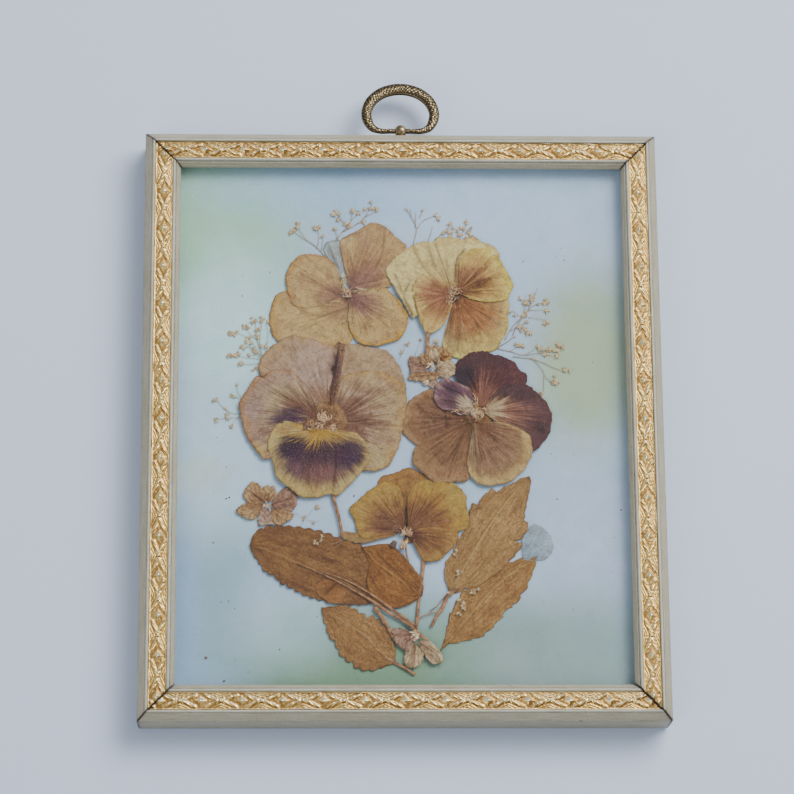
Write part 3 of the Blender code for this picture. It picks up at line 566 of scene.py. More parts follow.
def gilt_relief(along, across, seed):
    """The pressed pattern, 0 to about 1, with a along the rail and b across it. A long diamond is |a|/5.7 + |b|/2.35
    = 1. Its sides are arms: rounded bands cut into slanting strokes that run to the neck, where |a| + 1.2 |b| is
    constant along a stroke. A four-sided boss stands in the middle, and a bead between two collars ties it to the
    next."""
    a = (along / MOTIF + 0.5) % 1.0 * MOTIF - MOTIF / 2
    b = across + 0.05 * swell(along, across, 6.0, seed + 1)
    q = np.abs(a) / 5.7 + np.abs(b) / 2.35 + 0.03 * swell(along, across, 5.0, seed)
    arm = np.clip(1 - ((q - 1.03) / 0.29) ** 2, 0, 1) * np.clip((np.abs(a) - 0.7) / 0.9, 0, 1)
    stroke = np.abs((np.abs(a) + 1.2 * np.abs(b) + 0.1 * swell(along, across, 3.0, seed + 4)) / 1.3 % 1.0 * 2 - 1)
    h = arm * (0.25 + 0.62 * stroke)
    boss = np.clip(1 - (np.abs(a) / 2.2 + np.abs(b) / 1.7), 0, 1)
    h = np.maximum(h, 1.35 * boss)
    neck = np.abs(np.abs(a) - MOTIF / 2)
    h = np.maximum(h, 0.95 * np.sqrt(np.clip(1 - (neck**2 + b**2) / 0.62**2, 0, 1)))
    h = np.maximum(h, 0.7 * np.exp(-(((neck - 1.05) / 0.17) ** 2)) * np.exp(-((b / 0.95) ** 4)))
    corner = np.clip((q - 1.34) / 0.1, 0, 1)
    h = h + corner * (0.10 + 0.10 * np.cos(2 * math.pi * (q - 1.3) / 0.30))
    h *= 0.88 + 0.18 * swell(along, across, 3.7, seed + 5)
    h += 0.05 * swell(along, across, 0.9, seed + 9)
    edge = np.exp(-(((np.abs(b) - 2.62) / 0.13) ** 2)) * (0.55 + 0.35 * swell(along, along * 0, 9.0, seed + 2))
    fade = np.clip((2.8 - np.abs(b)) / 0.18, 0, 1)
    return np.clip(h, -0.1, 1.35) * np.clip((2.5 - np.abs(b)) / 0.2, 0, 1) + edge * fade


def make_rail(name, half_length, half_across, side, seed, gaps=(0.13, 0.13)):
    """A mitred rail: the moulding's outline carried from mitre to mitre, with the pressed pattern raised on its band.
    A place along it runs from -(half length - d - gap) to half length - d - gap, where d is how far in from the
    outside."""
    steps = int(half_length * 2 / RAIL_STEP)
    band = np.linspace(GILT_IN, GILT_OUT, 42)
    crown = 14.78 + 0.28 * (1 - ((band - BAND_MIDDLE) / 2.8) ** 2)
    outline = np.vstack([OUTER, np.stack([band, crown], 1), INNER])
    d, z = outline[:, 0][None, :], outline[:, 1][None, :]
    t = np.linspace(0, 1, steps)[:, None]
    along = (half_length - d - gaps[1]) * t - (half_length - d - gaps[0]) * (1 - t)
    is_band = np.zeros(len(outline), bool)
    is_band[len(OUTER):len(OUTER) + len(band)] = True
    relief = np.where(is_band[None, :], gilt_relief(along, d - BAND_MIDDLE, seed), 0.4)
    high = z + np.where(is_band[None, :], relief * RELIEF, 0.0)
    painted = ~is_band[None, :] & (z > 13.5)
    high = high + np.where(painted, 0.035 * swell(along, d * 3, 6.0, seed + 20), 0.0)
    high = np.minimum(high, RAIL_TOP)
    across = np.broadcast_to(d - half_across, along.shape)
    c, s = round(math.cos(side * math.pi / 2)), round(math.sin(side * math.pi / 2))
    points = np.stack([along * c - across * s, along * s + across * c, high], -1)
    # how steeply the relief rises towards +y: it places the gilt's painted shade and painted highlight
    down = np.gradient(high, axis=0) / np.gradient(along, axis=0) * s
    down = down + np.gradient(high, axis=1) / (np.gradient(d, axis=1) + 1e-9) * c
    shade = np.clip(down * is_band[None, :] / 1.1, -1, 1)
    quirk = sum(np.exp(-(((d - at) / wide) ** 2)) * much for at, wide, much in QUIRKS)
    mitre = np.minimum(along + half_length - d - gaps[0], half_length - d - gaps[1] - along)
    at_mitre = 1.1 * np.exp(-((mitre / np.where(z < SIDE_TOP, 0.5, 0.28)) ** 2))
    grime = np.clip(quirk * (z > SIDE_TOP) * ~is_band[None, :] + at_mitre + 0.22 * np.exp(-mitre / 2.0), 0, 1)
    # the slopes and the outer sides, marked for the paint's painted shade
    face = z > SIDE_TOP
    slope = ((d < 2.55) & face) * 0.75 + ((d < 0.05) & ~face) * 1.0 + ((d > 10.45) & face) * 0.7
    slope = np.broadcast_to(slope, along.shape)
    n = len(outline)
    quads = lattice(steps, n, wrap_v=True)
    middle = quads[:, 0] % n
    gilt = (middle >= len(OUTER) - 1) & (middle < len(OUTER) + len(band))
    round_it = np.concatenate([[0], np.cumsum(np.linalg.norm(np.diff(outline, axis=0), axis=1))])
    spot = np.stack([along, np.broadcast_to(round_it[None, :], along.shape)], -1).reshape(-1, 2)
    caps = [range(n), range((steps - 1) * n, steps * n)]
    part = (points.reshape(-1, 3), quads, np.zeros((0, 3), int), spot)
    extra = {"relief": relief, "grime": grime, "slope": slope, "shade": shade}
    make_piece(name + "_moulding", part, [PAINT, GILT], "frame", [name], extra, caps,
               gilt.astype(int))


# ---------------------------------------------------------------- pressed plants


def layer_height(layer):
    return CARD_TOP + FIRST_LAYER + layer * LAYER


def on_card(x, y, z):
    """A place in the bouquet as a place in the frame."""
    return np.stack([x + BOUQUET[0], y + BOUQUET[1], z], -1)


def press(x, y, layer, lift):
    """A sheet's relief, lift, at its layer's height, kept clear of the card and of the glass."""
    return on_card(x, y, np.clip(layer_height(layer) + lift, CARD_TOP + OVER_CARD, GLASS_UNDERSIDE - UNDER_GLASS))


def add_folds(x, y, lift, crease_shade, folds, rise, mark):
    """Raises each fold, or sinks it where its height is negative, as a bell across its line, and marks it for painted
    shade along the crease."""
    for line, height, width in folds:
        bell = near_line(x, y, line, width)
        lift = lift + rise * height * bell
        crease_shade = np.maximum(crease_shade, bell**2 * min(1.0, abs(height) * mark))
    return lift, crease_shade


def petal(name, layer, points, finish, node, seed, folds=(), ripple=0.05, lobes=5, frill=0.30, curl=0.0,
          rows=36, cols=132, sharp=False, crumple=(7.0, 0.10, 0.4)):
    """A pressed petal: straight lines from its heel, the first point, out to a curve through the other points, so a
    place on it is heel + v (edge(u) - heel). Its relief is soft swells, ripples that grow towards the edge, sharp
    folds, and crumples: valleys where a smooth swell passes through nought."""
    heel = np.array(points[0], float)
    edge = curve_through(points[1:], cols, sharp=sharp)
    u = np.linspace(0, 1, cols)
    out = edge - heel
    out /= np.linalg.norm(out, axis=1, keepdims=True)
    uneven = ragged(cols, 7.0, seed) + 0.6 * ragged(cols, 2.6, seed + 30)
    uneven = uneven - 0.9 * np.clip(ragged(cols, 3.4, seed + 60) - 0.75, 0, 1)
    edge = edge + out * (frill * uneven * np.sin(math.pi * u) ** 0.3)[:, None]
    v = np.linspace(0, 1, rows)
    flat = heel + v[None, :, None] * (edge - heel)[:, None, :]
    x, y = flat[..., 0], flat[..., 1]
    reach = np.linalg.norm(np.diff(edge, axis=0), axis=1).sum()
    lift = 0.10 * swell(x, y, 13.0, SHARED_SWELLS[0]) + 0.06 * swell(x, y, 5.0, SHARED_SWELLS[1])
    lift = lift + 0.04 * swell(x, y, 2.2, seed + 4)
    along = u[:, None] * reach + 0 * v
    lift = lift + 0.085 * v[None, :] ** 0.7 * swell(along, u[:, None] * 0 + 5.0 * v, 3.4, seed + 6)
    lift = lift + 0.14 * v[None, :] ** 8 * swell(along, u[:, None] + 0 * v, 2.6, seed + 7)
    lift = lift + 0.6 * ripple * v[None, :] ** 2 * np.sin(2 * math.pi * (lobes * u[:, None] + 0.1 * seed))
    pinch = np.abs(swell(x, y, crumple[0], seed + 8))
    lift = lift + crumple[1] * np.minimum(pinch, 1.2)
    # marks the crumple valleys, and below the folds, for painted shade in the petal's colour
    crease_shade = np.clip(1 - pinch * crumple[0] * 1.1, 0, 1) * crumple[2]
    lift, crease_shade = add_folds(x, y, lift, crease_shade, folds, 1.5, 7)
    lift = lift + curl * v[None, :] ** 5 - 0.12 * v[None, :] ** 8
    grid = press(x, y, layer, lift)
    spot = np.stack(np.meshgrid(u, v, indexing="ij"), -1)
    body = grid[:, 1:].reshape(-1, 3)
    points3 = np.vstack([body, grid[0, 0]])
    k = np.arange(cols - 1) * (rows - 1)
    fan = np.stack([np.full(cols - 1, len(body)), k, k + rows - 1], 1)
    spots = np.vstack([spot[:, 1:].reshape(-1, 2), [[0.5, 0.0]]])
    extra = {"crease_shade": np.append(crease_shade[:, 1:].ravel(), crease_shade[0, 0])}
    part = (points3, lattice(cols, rows - 1), fan, spots)
    piece = make_piece(name, part, [finish], "frame", [node] if node else (), extra, up=True)
    thicken(piece, PETAL_SHEET)
    return piece


def leaf(name, layer, rib, left, right, finish, node, seed, folds=(), teeth=(0.35, 26), rows=121, cols=51,
         sharp=False):
    """A pressed leaf: u runs along the midrib and v from its left edge, -1, over the rib, 0, to its right edge, 1, so a
    place is rib(u) + |v| (edge(u) - rib(u)). Teeth are a saw wave on the edges, or round scallops where their size is
    given as negative, and veins and folds are raised."""
    rib = curve_through(rib, rows)
    u = np.linspace(0, 1, rows)
    sides = []
    for number, given in enumerate((left, right)):
        edge = curve_through(given, rows, sharp=sharp)
        out = edge - rib
        long = np.linalg.norm(out, axis=1, keepdims=True) + 1e-6
        phase = u * teeth[1] + 0.37 * number
        if teeth[0] > 0:
            saw = phase % 1.0 - 0.5
        else:
            saw = (0.6 - np.abs(np.sin(math.pi * phase))) * (1 + 0.6 * ragged(rows, 5.0, seed + 7 + number))
        jut = (teeth[0] * saw + 0.15 * ragged(rows, 6.0, seed + number)) * np.sin(math.pi * u) ** 0.5
        sides.append(edge + out / long * jut[:, None])
    v = np.linspace(-1, 1, cols)
    reach = np.abs(v)[None, :, None]
    edges = np.where(v[None, :, None] < 0, sides[0][:, None, :], sides[1][:, None, :])
    flat = rib[:, None, :] + reach * (edges - rib[:, None, :])
    x, y = flat[..., 0], flat[..., 1]
    vein = np.exp(-((((u[:, None] * 9 + 1.6 * np.abs(v)[None, :]) % 1.0 - 0.5) / 0.10) ** 2))
    lift = 0.10 * swell(x, y, 13.0, SHARED_SWELLS[0]) + 0.08 * swell(x, y, 5.0, SHARED_SWELLS[1])
    lift = lift + 0.05 * swell(x, y, 2.4, seed + 4) + 0.07 * vein
    lift = lift + 0.10 * swell(u[:, None] * 14 + 0 * v, v[None, :] * 22 + 0 * u[:, None], 5.0, seed + 6)
    lift = lift + 0.12 * np.exp(-((v[None, :] / 0.06) ** 2)) - 0.10 * np.abs(v[None, :]) ** 10
    pinch = np.abs(swell(x, y, 8.0, seed + 8))
    lift = lift + 0.14 * np.minimum(pinch, 1.2)
    # marks the crumple valleys, and below the folds, for painted shade in the leaf's colour
    crease_shade = np.clip(1 - pinch * 9, 0, 1) * 0.5 + 0 * x
    lift, crease_shade = add_folds(x, y, lift, crease_shade, folds, 1.6, 6)
    grid = press(x, y, layer, lift)
    spot = np.stack(np.meshgrid(u, v, indexing="ij"), -1).reshape(-1, 2)
    part = (grid.reshape(-1, 3), lattice(rows, cols), np.zeros((0, 3), int), spot)
    piece = make_piece(name, part, [finish], "frame", [node], {"crease_shade": crease_shade}, up=True)
    thicken(piece, LEAF_SHEET)


def stalk(points, width, layer, deep=0.16, seed=0, taper=0.25, sides=10):
    """A flattened stem: an oval carried along a curve, a little thinner at its far end and uneven in width."""
    path = curve_through(points, 26)
    wide = width / 2 * (1 - taper * np.linspace(0, 1, 26)) * (1 + 0.12 * ragged(26, 9.0, seed))
    z = layer_height(layer) + 0.06 * swell(path[:, 0], path[:, 1], 6.0, seed + 2)
    return tube(on_card(path[:, 0], path[:, 1], z), wide, deep, sides)


def thread(points, width, layer, steps=9):
    """A fine twig of the sprays."""
    path = curve_through(points, steps)
    half = np.linspace(width, width * 0.6, steps) / 2
    return tube(on_card(path[:, 0], path[:, 1], np.full(steps, layer_height(layer))), half, half, 5)


def bud(x, y, size, layer, seed):
    """One dried bud of a spray: a seed cup with four narrow crumpled petals that open out of it like a star."""
    rng = np.random.default_rng(seed)
    z = layer_height(layer)
    x, y = x + BOUQUET[0], y + BOUQUET[1]
    parts = [pod((x, y, z), (size * 0.34, size * 0.26, 0.22), seed, 6, 3)]
    turn = rng.uniform(0, 2 * math.pi)
    for lobe in range(4):
        way = turn + lobe * 1.35 + rng.normal(0, 0.25)
        long = size * rng.uniform(0.26, 0.42)
        s = np.linspace(0.25, 1.0, 4)
        bent = way + 0.5 * s
        path = np.column_stack([x + np.cos(bent) * long * 1.5 * s, y + np.sin(bent) * long * 1.5 * s, z + 0.12 * s])
        parts.append(tube(path, size * 0.15 * np.array([0.6, 1.0, 0.8, 0.3]), 0.07, 5))
    return join(parts)


def tangle(cx, cy, rx, ry, low, high, count, seed, width=(0.14, 0.36), length=(1.6, 3.8), tilt=None):
    """A heap of curled dried stamens between two layers: each is a short rod that bends round at its own height."""
    rng = np.random.default_rng(seed)
    parts = []
    for _ in range(count):
        turn = rng.uniform(0, 2 * math.pi) if tilt is None else math.radians(tilt) + rng.normal(0, 0.5)
        spread = rng.uniform(0, 1) ** 0.7
        where = rng.uniform(0, 2 * math.pi)
        start = np.array([cx + rx * spread * math.cos(where), cy + ry * spread * math.sin(where)])
        long = rng.uniform(*length)
        bend = rng.normal(0, 1.6)
        s = np.linspace(-0.5, 0.5, 9)
        way = turn + bend * s
        step = np.stack([np.cos(way), np.sin(way)], 1) * long / 8
        path = start + np.cumsum(step, 0) - step.sum(0) / 2
        z = rng.uniform(layer_height(low), layer_height(high)) + 0.12 * np.sin(s * 6 + rng.uniform(0, 6))
        z = np.clip(z, CARD_TOP + 0.2, GLASS_UNDERSIDE - 0.25)
        wide = rng.uniform(*width) / 2 * (1 - 0.5 * np.abs(s * 2) ** 3)
        parts.append(tube(on_card(path[:, 0], path[:, 1], z), wide, wide * 0.6, 6))
    return join(parts)


def lay_heel(name, layer, points, finish, seed, rows=14, cols=44):
    """The wrinkled heel where the petals of a flower meet."""
    petal(name, layer, points, finish, None, seed, crumple=(2.4, 0.18, 0.8), rows=rows, cols=cols)


def floret(name, layer, points, finish, seed, folds=(), node=None):
    """A small, strongly crumpled petal of the florets between the flowers."""
    petal(name, layer, points, finish, node, seed, folds, ripple=0.3, lobes=4, frill=0.38, rows=16, cols=60,
          crumple=(2.2, 0.22, 0.9))


def lay_stem(name, node, *stalks):
    make_piece(name, join(stalks), [STEM], "frame", [node] if node else ())


def lay_middle(name, node, finish, *heaps):
    """A flower's middle: its heaps of stamens as one piece."""
    make_piece(name, join(heaps), [finish], "frame", [node] if node else ())


# ---------------------------------------------------------------- building the frame

PAINT, GILT, BRASS = paint_finish(), gilt_finish(), brass_finish()
make_rail("rail_bottom", HALF_W, HALF_H, 0, 11, (0.28, 0.36))
make_rail("rail_right", HALF_H, HALF_W, 1, 22, (0.3, 0.16))
make_rail("rail_top", HALF_W, HALF_H, 2, 33, (0.14, 0.14))
make_rail("rail_left", HALF_H, HALF_W, 3, 44, (0.13, 0.22))


def dress_node(node, finish):
    """Gives a flat board that stays as it was cut its own finish."""
    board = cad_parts[node]
    board.data.materials.clear()
    board.data.materials.append(finish)


dress_node("painted_card", card_finish())
dress_node("glass_pane", glass_finish())
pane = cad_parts["glass_pane"]
pane.visible_shadow = pane.visible_diffuse = False  # clear glass this thin lets the studio light straight through
dress_node("backing_board", board_finish())


PAPER_HALF, PAPER = (81.6, 95.35), 0.13


def make_dust_paper():
    """The paper glued over the back: a closed sheet that lies flat along its glued edges, cockles softly across the
    middle and has a slightly uneven, hand-cut edge. Both faces are the same swell, one paper's thickness apart."""
    nx, ny = 90, 104
    u, v = np.meshgrid(np.linspace(-1, 1, nx), np.linspace(-1, 1, ny), indexing="ij")
    x = u * (PAPER_HALF[0] + 0.25 * ragged(ny, 9.0, 3)[None, :])
    y = v * (PAPER_HALF[1] + 0.25 * ragged(nx, 9.0, 5)[:, None])
    free = np.clip((1 - np.abs(u)) * 8, 0, 1) * np.clip((1 - np.abs(v)) * 9, 0, 1)
    low = 0.05 + 0.10 * free * (0.5 + 0.5 * swell(x, y, 34.0, 8)) + 0.02 * free * swell(x, y, 7.0, 9)
    low = np.clip(low, 0.0, 0.22)
    top = low + PAPER
    under = np.stack([x, y, low], -1).reshape(-1, 3)
    over = np.stack([x, y, top], -1).reshape(-1, 3)
    quads = lattice(nx, ny)
    n = nx * ny
    index = np.arange(n).reshape(nx, ny)
    rim = np.concatenate([index[:-1, 0], index[-1, :-1], index[:0:-1, -1], index[0, :0:-1]])
    after = np.roll(rim, -1)
    wall = np.stack([rim, after, after + n, rim + n], 1)
    spot = np.stack([u, v], -1).reshape(-1, 2)
    faces = np.vstack([quads[:, ::-1], quads + n, wall])
    part = (np.vstack([under, over]), faces, np.zeros((0, 3), int), np.vstack([spot, spot]))
    make_piece("back_paper", part, [kraft_finish()], "frame", ["dust_paper"])


make_dust_paper()

RING_Y, RING_Z, DROP = 100.5, 10.0, math.radians(10)  # the ring's axis, and how far the ring lies below level
EYE, BORE = 2.1, 1.1


def make_eye():
    """The eye: a bead turned about the ring's axis, so it is a ring of half-round outline with the bore left open, on a
    shank and a small collar turned about the line into the rail."""
    arc = np.linspace(-1, 1, 15) * math.acos(BORE / EYE)
    bore = np.linspace(1, -1, 5)[1:-1] * EYE * math.sin(arc[-1])
    px = np.concatenate([EYE * np.sin(arc), bore])
    pr = np.concatenate([EYE * np.cos(arc), np.full(3, BORE)])
    turn = np.linspace(0, 2 * math.pi, 36, endpoint=False)
    bead = np.stack([px[None, :] + 0 * turn[:, None], RING_Y + pr * np.cos(turn)[:, None],
                     RING_Z + pr * np.sin(turn)[:, None]], -1)
    spot = np.stack(np.meshgrid(np.linspace(0, 1, 36), np.linspace(0, 1, len(px)), indexing="ij"), -1).reshape(-1, 2)
    part = (bead.reshape(-1, 3), lattice(36, len(px), True, True), np.zeros((0, 3), int), spot)
    along = np.array([RING_Y - 1.35, RING_Y - 1.7, RING_Y - 2.05, RING_Y - 2.12, RING_Y - 2.42, RING_Y - 2.44,
                      RING_Y - 6])
    wide = np.array([0.85, 0.85, 0.95, 1.5, 1.6, 0.85, 0.85])
    shank = tube(np.column_stack([along * 0, along, along * 0 + RING_Z]), wide, wide, 24, (0, 0, 1))
    whole = join([part, shank])
    worn = 0.75 + 0.25 * swell(whole[0][:, 0], whole[0][:, 2], 1.5, 4)
    make_piece("eye_bead", whole, [BRASS], "frame", ["ring_eye"], {"relief": worn})


make_eye()


def make_ring():
    """The hanging ring: an oval outline carried round a closed D-shaped curve, broad at the top and slim at the bar,
    with leaf scrolls engraved in its face. The engraving is a height: leaves lean to each side of a wavy stem."""
    half = [(0, 0), (3.5, 0), (7, 0.12), (9.7, 1.6), (11.15, 5), (11.1, 8.1), (9.6, 11.6), (6.6, 14.4), (3.3, 15.8),
            (0, 16.25)]
    line = curve_through(half + [(-x, y) for x, y in half[-2:0:-1]], 420, closed=True)
    ways = np.roll(line, -1, 0) - np.roll(line, 1, 0)
    ways /= np.linalg.norm(ways, axis=1, keepdims=True)
    out = np.stack([ways[:, 1], -ways[:, 0]], 1)
    run = np.concatenate([[0], np.cumsum(np.linalg.norm(np.diff(line, axis=0), axis=1))])
    high = line[:, 1]
    bar = np.clip(1 - high / 1.2, 0, 1) * np.clip((6.5 - np.abs(line[:, 0])) / 3, 0, 1)
    broad = np.interp(high, (0, 1, 4, 9, 16.2), (0.86, 1.25, 1.66, 1.78, 2.04)) * (1 - 0.12 * bar)
    thick = np.interp(high, (0, 3, 16.2), (0.78, 1.0, 1.15))
    sides = 56
    turn = np.arange(sides) * 2 * math.pi / sides
    cs, sn = np.cos(turn)[None, :], np.sin(turn)[None, :]
    squash = (np.abs(cs) ** 2.6 + np.abs(sn) ** 2.6) ** (-1 / 2.6)
    s, a = run[:, None], cs * squash * broad[:, None]
    stem = np.exp(-(((a - 0.35 * np.sin(s * 1.25)) / 0.16) ** 2))
    lean = np.sin(s * 6.2 + a * 3.8 + 2.0 * np.sin(s * 0.8))
    lean = lean + 0.8 * np.sin(s * 4.7 - a * 5.2 + 2.4 * np.sin(s * 0.55)) - 0.1
    leaf_cut = np.clip(lean, 0, 1) ** 0.7 * np.clip(1.0 - (np.abs(a) / broad[:, None]) ** 4, 0, 1)
    cut = np.clip(0.25 + 0.7 * leaf_cut * (0.7 + 0.4 * swell(s, a * 2, 1.4, 3)) + 0.5 * stem, 0, 1.15)
    rim = np.exp(-(((np.abs(a) / broad[:, None] - 0.93) / 0.06) ** 2))
    relief = np.maximum(cut * (np.abs(sn) > 0.25), 0.8 * rim)
    plain = (np.abs(line[:, 0]) < 3.2) & (high < 2)
    relief = np.where(plain[:, None], 0.45, relief)
    scale = 1 + np.where(plain[:, None], 0, (relief - 0.5) * 0.13)
    local = np.stack([
        line[:, 0:1] + out[:, 0:1] * a,
        line[:, 1:2] + out[:, 1:2] * a,
        thick[:, None] * sn * squash * scale,
    ], -1)
    y = RING_Y + local[..., 1] * math.cos(DROP) + local[..., 2] * math.sin(DROP)
    z = RING_Z - local[..., 1] * math.sin(DROP) + local[..., 2] * math.cos(DROP)
    points = np.stack([local[..., 0], y, np.maximum(z, 0.0)], -1).reshape(-1, 3)
    spot = np.stack(np.broadcast_arrays(s / run[-1], turn[None, :] / 6.3), -1).reshape(-1, 2)
    part = (points, lattice(len(line), sides, True, True), np.zeros((0, 3), int), spot)
    make_piece("engraved_ring", part, [BRASS], "ring", ["hanging_ring"], {"relief": relief})


make_ring()

# ---------------------------------------------------------------- the five pansies

BUFF, CREAM = (196, 164, 122), (212, 202, 158)

petal("tan_petal_faded", 0.4, [(-18.4, 45.6), (-21.5, 52.5), (-25.2, 57), (-25.4, 60), (-23, 61.6), (-20.3, 61.2),
      (-18.6, 56), (-17, 50)], petal_finish("tan_faded", 1, (182, 188, 186), (176, 178, 172), (168, 160, 148)),
      "pansy_1_petal_faded", 101, [([(-24, 60), (-21, 52)], 0.10, 0.5)], rows=16, cols=50)
petal("tan_petal_lower_left", 1, [(-17.5, 38.5), (-22, 42.6), (-32, 44), (-39.6, 43.6), (-42.5, 40), (-43.5, 35),
      (-43, 31), (-41, 27), (-36, 25), (-30, 24.4), (-25, 24.6), (-18, 25.5), (-15, 30)],
      petal_finish("tan_lower_left", 2, BUFF, (198, 168, 122), (176, 138, 104), veins=0.22, jag=0.3,
                   rim=(184, 146, 100), patches=[((150, 112, 88), -20, 38, 6, 5, 0, 0.5, 0.3, 0.5)]),
      "pansy_1_petal_lower_left", 102, [([(-18, 38), (-27, 35.5), (-33, 37.2)], 0.08, 0.6)])
petal("tan_petal_upper_left", 2, [(-19.3, 42), (-19.6, 44.8), (-20.3, 48), (-22, 53), (-26, 56), (-31, 56.6),
      (-35, 55), (-37.6, 51), (-38, 46), (-37, 41.5), (-35, 38.7), (-32, 38), (-28, 38.6), (-24.5, 39.7),
      (-20.5, 40)],
      petal_finish("tan_upper_left", 3, BUFF, (190, 156, 116), (132, 92, 82), deep=(0.30, 0.05), jag=0.3, veins=0.3,
                   rim=(186, 144, 100), patches=[((148, 108, 92), -23, 43, 5.5, 3.0, 20, 0.5, 0.4, 0.6)]),
      "pansy_1_petal_upper_left", 103, [([(-20, 42), (-27, 46), (-33, 50)], 0.07, 0.8)], curl=0.05)
petal("tan_petal_top", 2, [(-16.9, 44.6), (-17.6, 46), (-18.5, 52), (-20, 57), (-20.3, 60), (-19.5, 62), (-15, 64.5),
      (-10, 67.5), (-6, 66.5), (-3, 64), (0, 61), (1.6, 59), (1, 52), (-3, 46.2), (-5.5, 45.2), (-10, 45),
      (-14, 44.4)],
      petal_finish("tan_top", 4, (188, 154, 114), (178, 140, 106), (140, 100, 90), deep=(0.34, 0.1), jag=0.3,
                   veins=0.35, patches=[((204, 176, 132), -17.5, 61, 2.6, 4, 30, 0.6, 0.2, 0.5),
                   ((140, 100, 88), -12.5, 49, 6.5, 4.0, 50, 0.6, 0.5, 0.6)]),
      "pansy_1_petal_top", 104,
      [([(-5.5, 66), (-6.2, 58), (-8.5, 52)], 0.13, 0.5), ([(-19.5, 62), (-13, 64.4)], 0.10, 0.4),
       ([(-15.5, 50), (-17.5, 58)], 0.07, 0.5)])
petal("tan_petal_lower_right", 3.2, [(-16.6, 41.4), (-14, 44), (-8, 45), (-5, 44.5), (-1, 40.5), (1.5, 36.5),
      (2, 34.5), (1.2, 31), (0, 28.5), (-3, 26.5), (-8, 25.2), (-12, 25.2), (-15, 27), (-17, 30), (-17.7, 34),
      (-17.5, 38.5)],
      petal_finish("tan_lower_right", 5, BUFF, (194, 162, 120), (128, 86, 80), mid=(0.85, 0.5), deep=(0.42, 0.12),
                   jag=0.28, veins=0.32, rim=(190, 150, 96), dots=0.8,
                   patches=[((142, 102, 90), -13, 39.5, 5.5, 3.5, -30, 0.5, 0.6, 0.75)]),
      "pansy_1_petal_lower_right", 105,
      [([(-3.5, 43.5), (1, 36.5)], 0.08, 0.4), ([(-15, 41), (-9, 36), (-4, 31)], 0.06, 0.7)])

lay_heel("tan_heel", 0.8, [(-17.4, 42.6), (-20.6, 42.2), (-20, 39.8), (-17.4, 38.8), (-14.6, 40.4), (-14.2, 43),
         (-15.6, 44.4), (-18.4, 44.6), (-20.2, 43.6)],
         petal_finish("tan_heel", 61, (158, 120, 96), (140, 100, 84), (118, 80, 70), rays=16), 106)
petal("tan_sliver_upright", 1.6, [(-18.8, 43.6), (-20, 46.2), (-20, 49), (-19.4, 50.6), (-18.6, 48.8), (-18.2, 46)],
      petal_finish("tan_sliver_upright", 62, (212, 204, 176), (204, 192, 158), (190, 170, 134), rays=8, veins=0.15),
      None, 128, rows=12, cols=36)
petal("tan_sliver_flat", 1.7, [(-16.4, 43.4), (-13.6, 45), (-10.6, 45.4), (-8, 45.2), (-10.8, 44.2), (-13.6, 43.4)],
      petal_finish("tan_sliver_flat", 63, (208, 198, 170), (200, 186, 152), (180, 156, 122), rays=8, veins=0.15),
      None, 129, rows=12, cols=36)

lay_heel("cream_heel", 0.7, [(17.6, 43), (13.6, 43.4), (13, 40), (15.4, 37.4), (18.2, 36.8), (21, 38.4), (22.4, 41.4),
         (21.6, 44.8), (18.6, 46.8), (15.2, 46.2)],
         petal_finish("cream_heel", 64, (168, 122, 84), (140, 94, 66), (112, 72, 50), rays=16), 139)
petal("cream_petal_lower", 1, [(17.5, 42), (16.6, 37.5), (15, 33), (13.6, 29), (13, 25.6), (13.8, 23.6), (16, 21.5),
      (19, 20.9), (23, 21.6), (28, 23), (31, 24.6), (33.2, 28.5), (34.6, 31.6), (34.6, 36), (35.2, 39.2), (34.2, 42),
      (29, 42.4), (22, 42.6)],
      petal_finish("cream_lower", 6, (184, 172, 134), (153, 132, 101), (108, 80, 62), mid=(0.98, 0.62),
                   deep=(0.55, 0.1), jag=0.34, veins=0.55, rim=(208, 198, 138), rim_at=(0.84, 0.98),
                   patches=[((172, 112, 72), 24, 36, 9, 8, -30, 0.6, 0.9, 0.55),
                   ((196, 176, 120), 25, 26, 9, 3.5, 20, 0.6, 0.2, 0.6)]),
      "pansy_2_petal_bottom", 106,
      [([(18, 41), (19, 32), (18, 24)], 0.10, 0.5), ([(19, 40), (24, 34), (26, 27)], 0.08, 0.5),
       ([(17, 39.5), (15.2, 33.5)], -0.10, 0.5)], ripple=0.07)
petal("cream_petal_top", 2.6, [(17, 44), (15, 46.8), (13.4, 50), (11.6, 55), (9.8, 60.2), (12, 62.2), (15, 62.7),
      (20, 62.1), (23.5, 62.6), (27, 60.9), (31, 58.9), (32.2, 55.6), (30, 51), (22, 45.5)],
      petal_finish("cream_top", 7, CREAM, (206, 192, 148), (176, 152, 112), veins=0.2, jag=0.2, blotchy=0.15,
                   rim=(204, 190, 140)),
      "pansy_2_petal_top", 107,
      [([(20.3, 58), (17.9, 54.2), (17.3, 47)], -0.16, 0.55), ([(11, 60), (12.3, 54.5), (15.4, 46.4)], -0.14, 0.5),
       ([(22, 64.5), (28, 60)], 0.08, 0.4)], ripple=0.08)
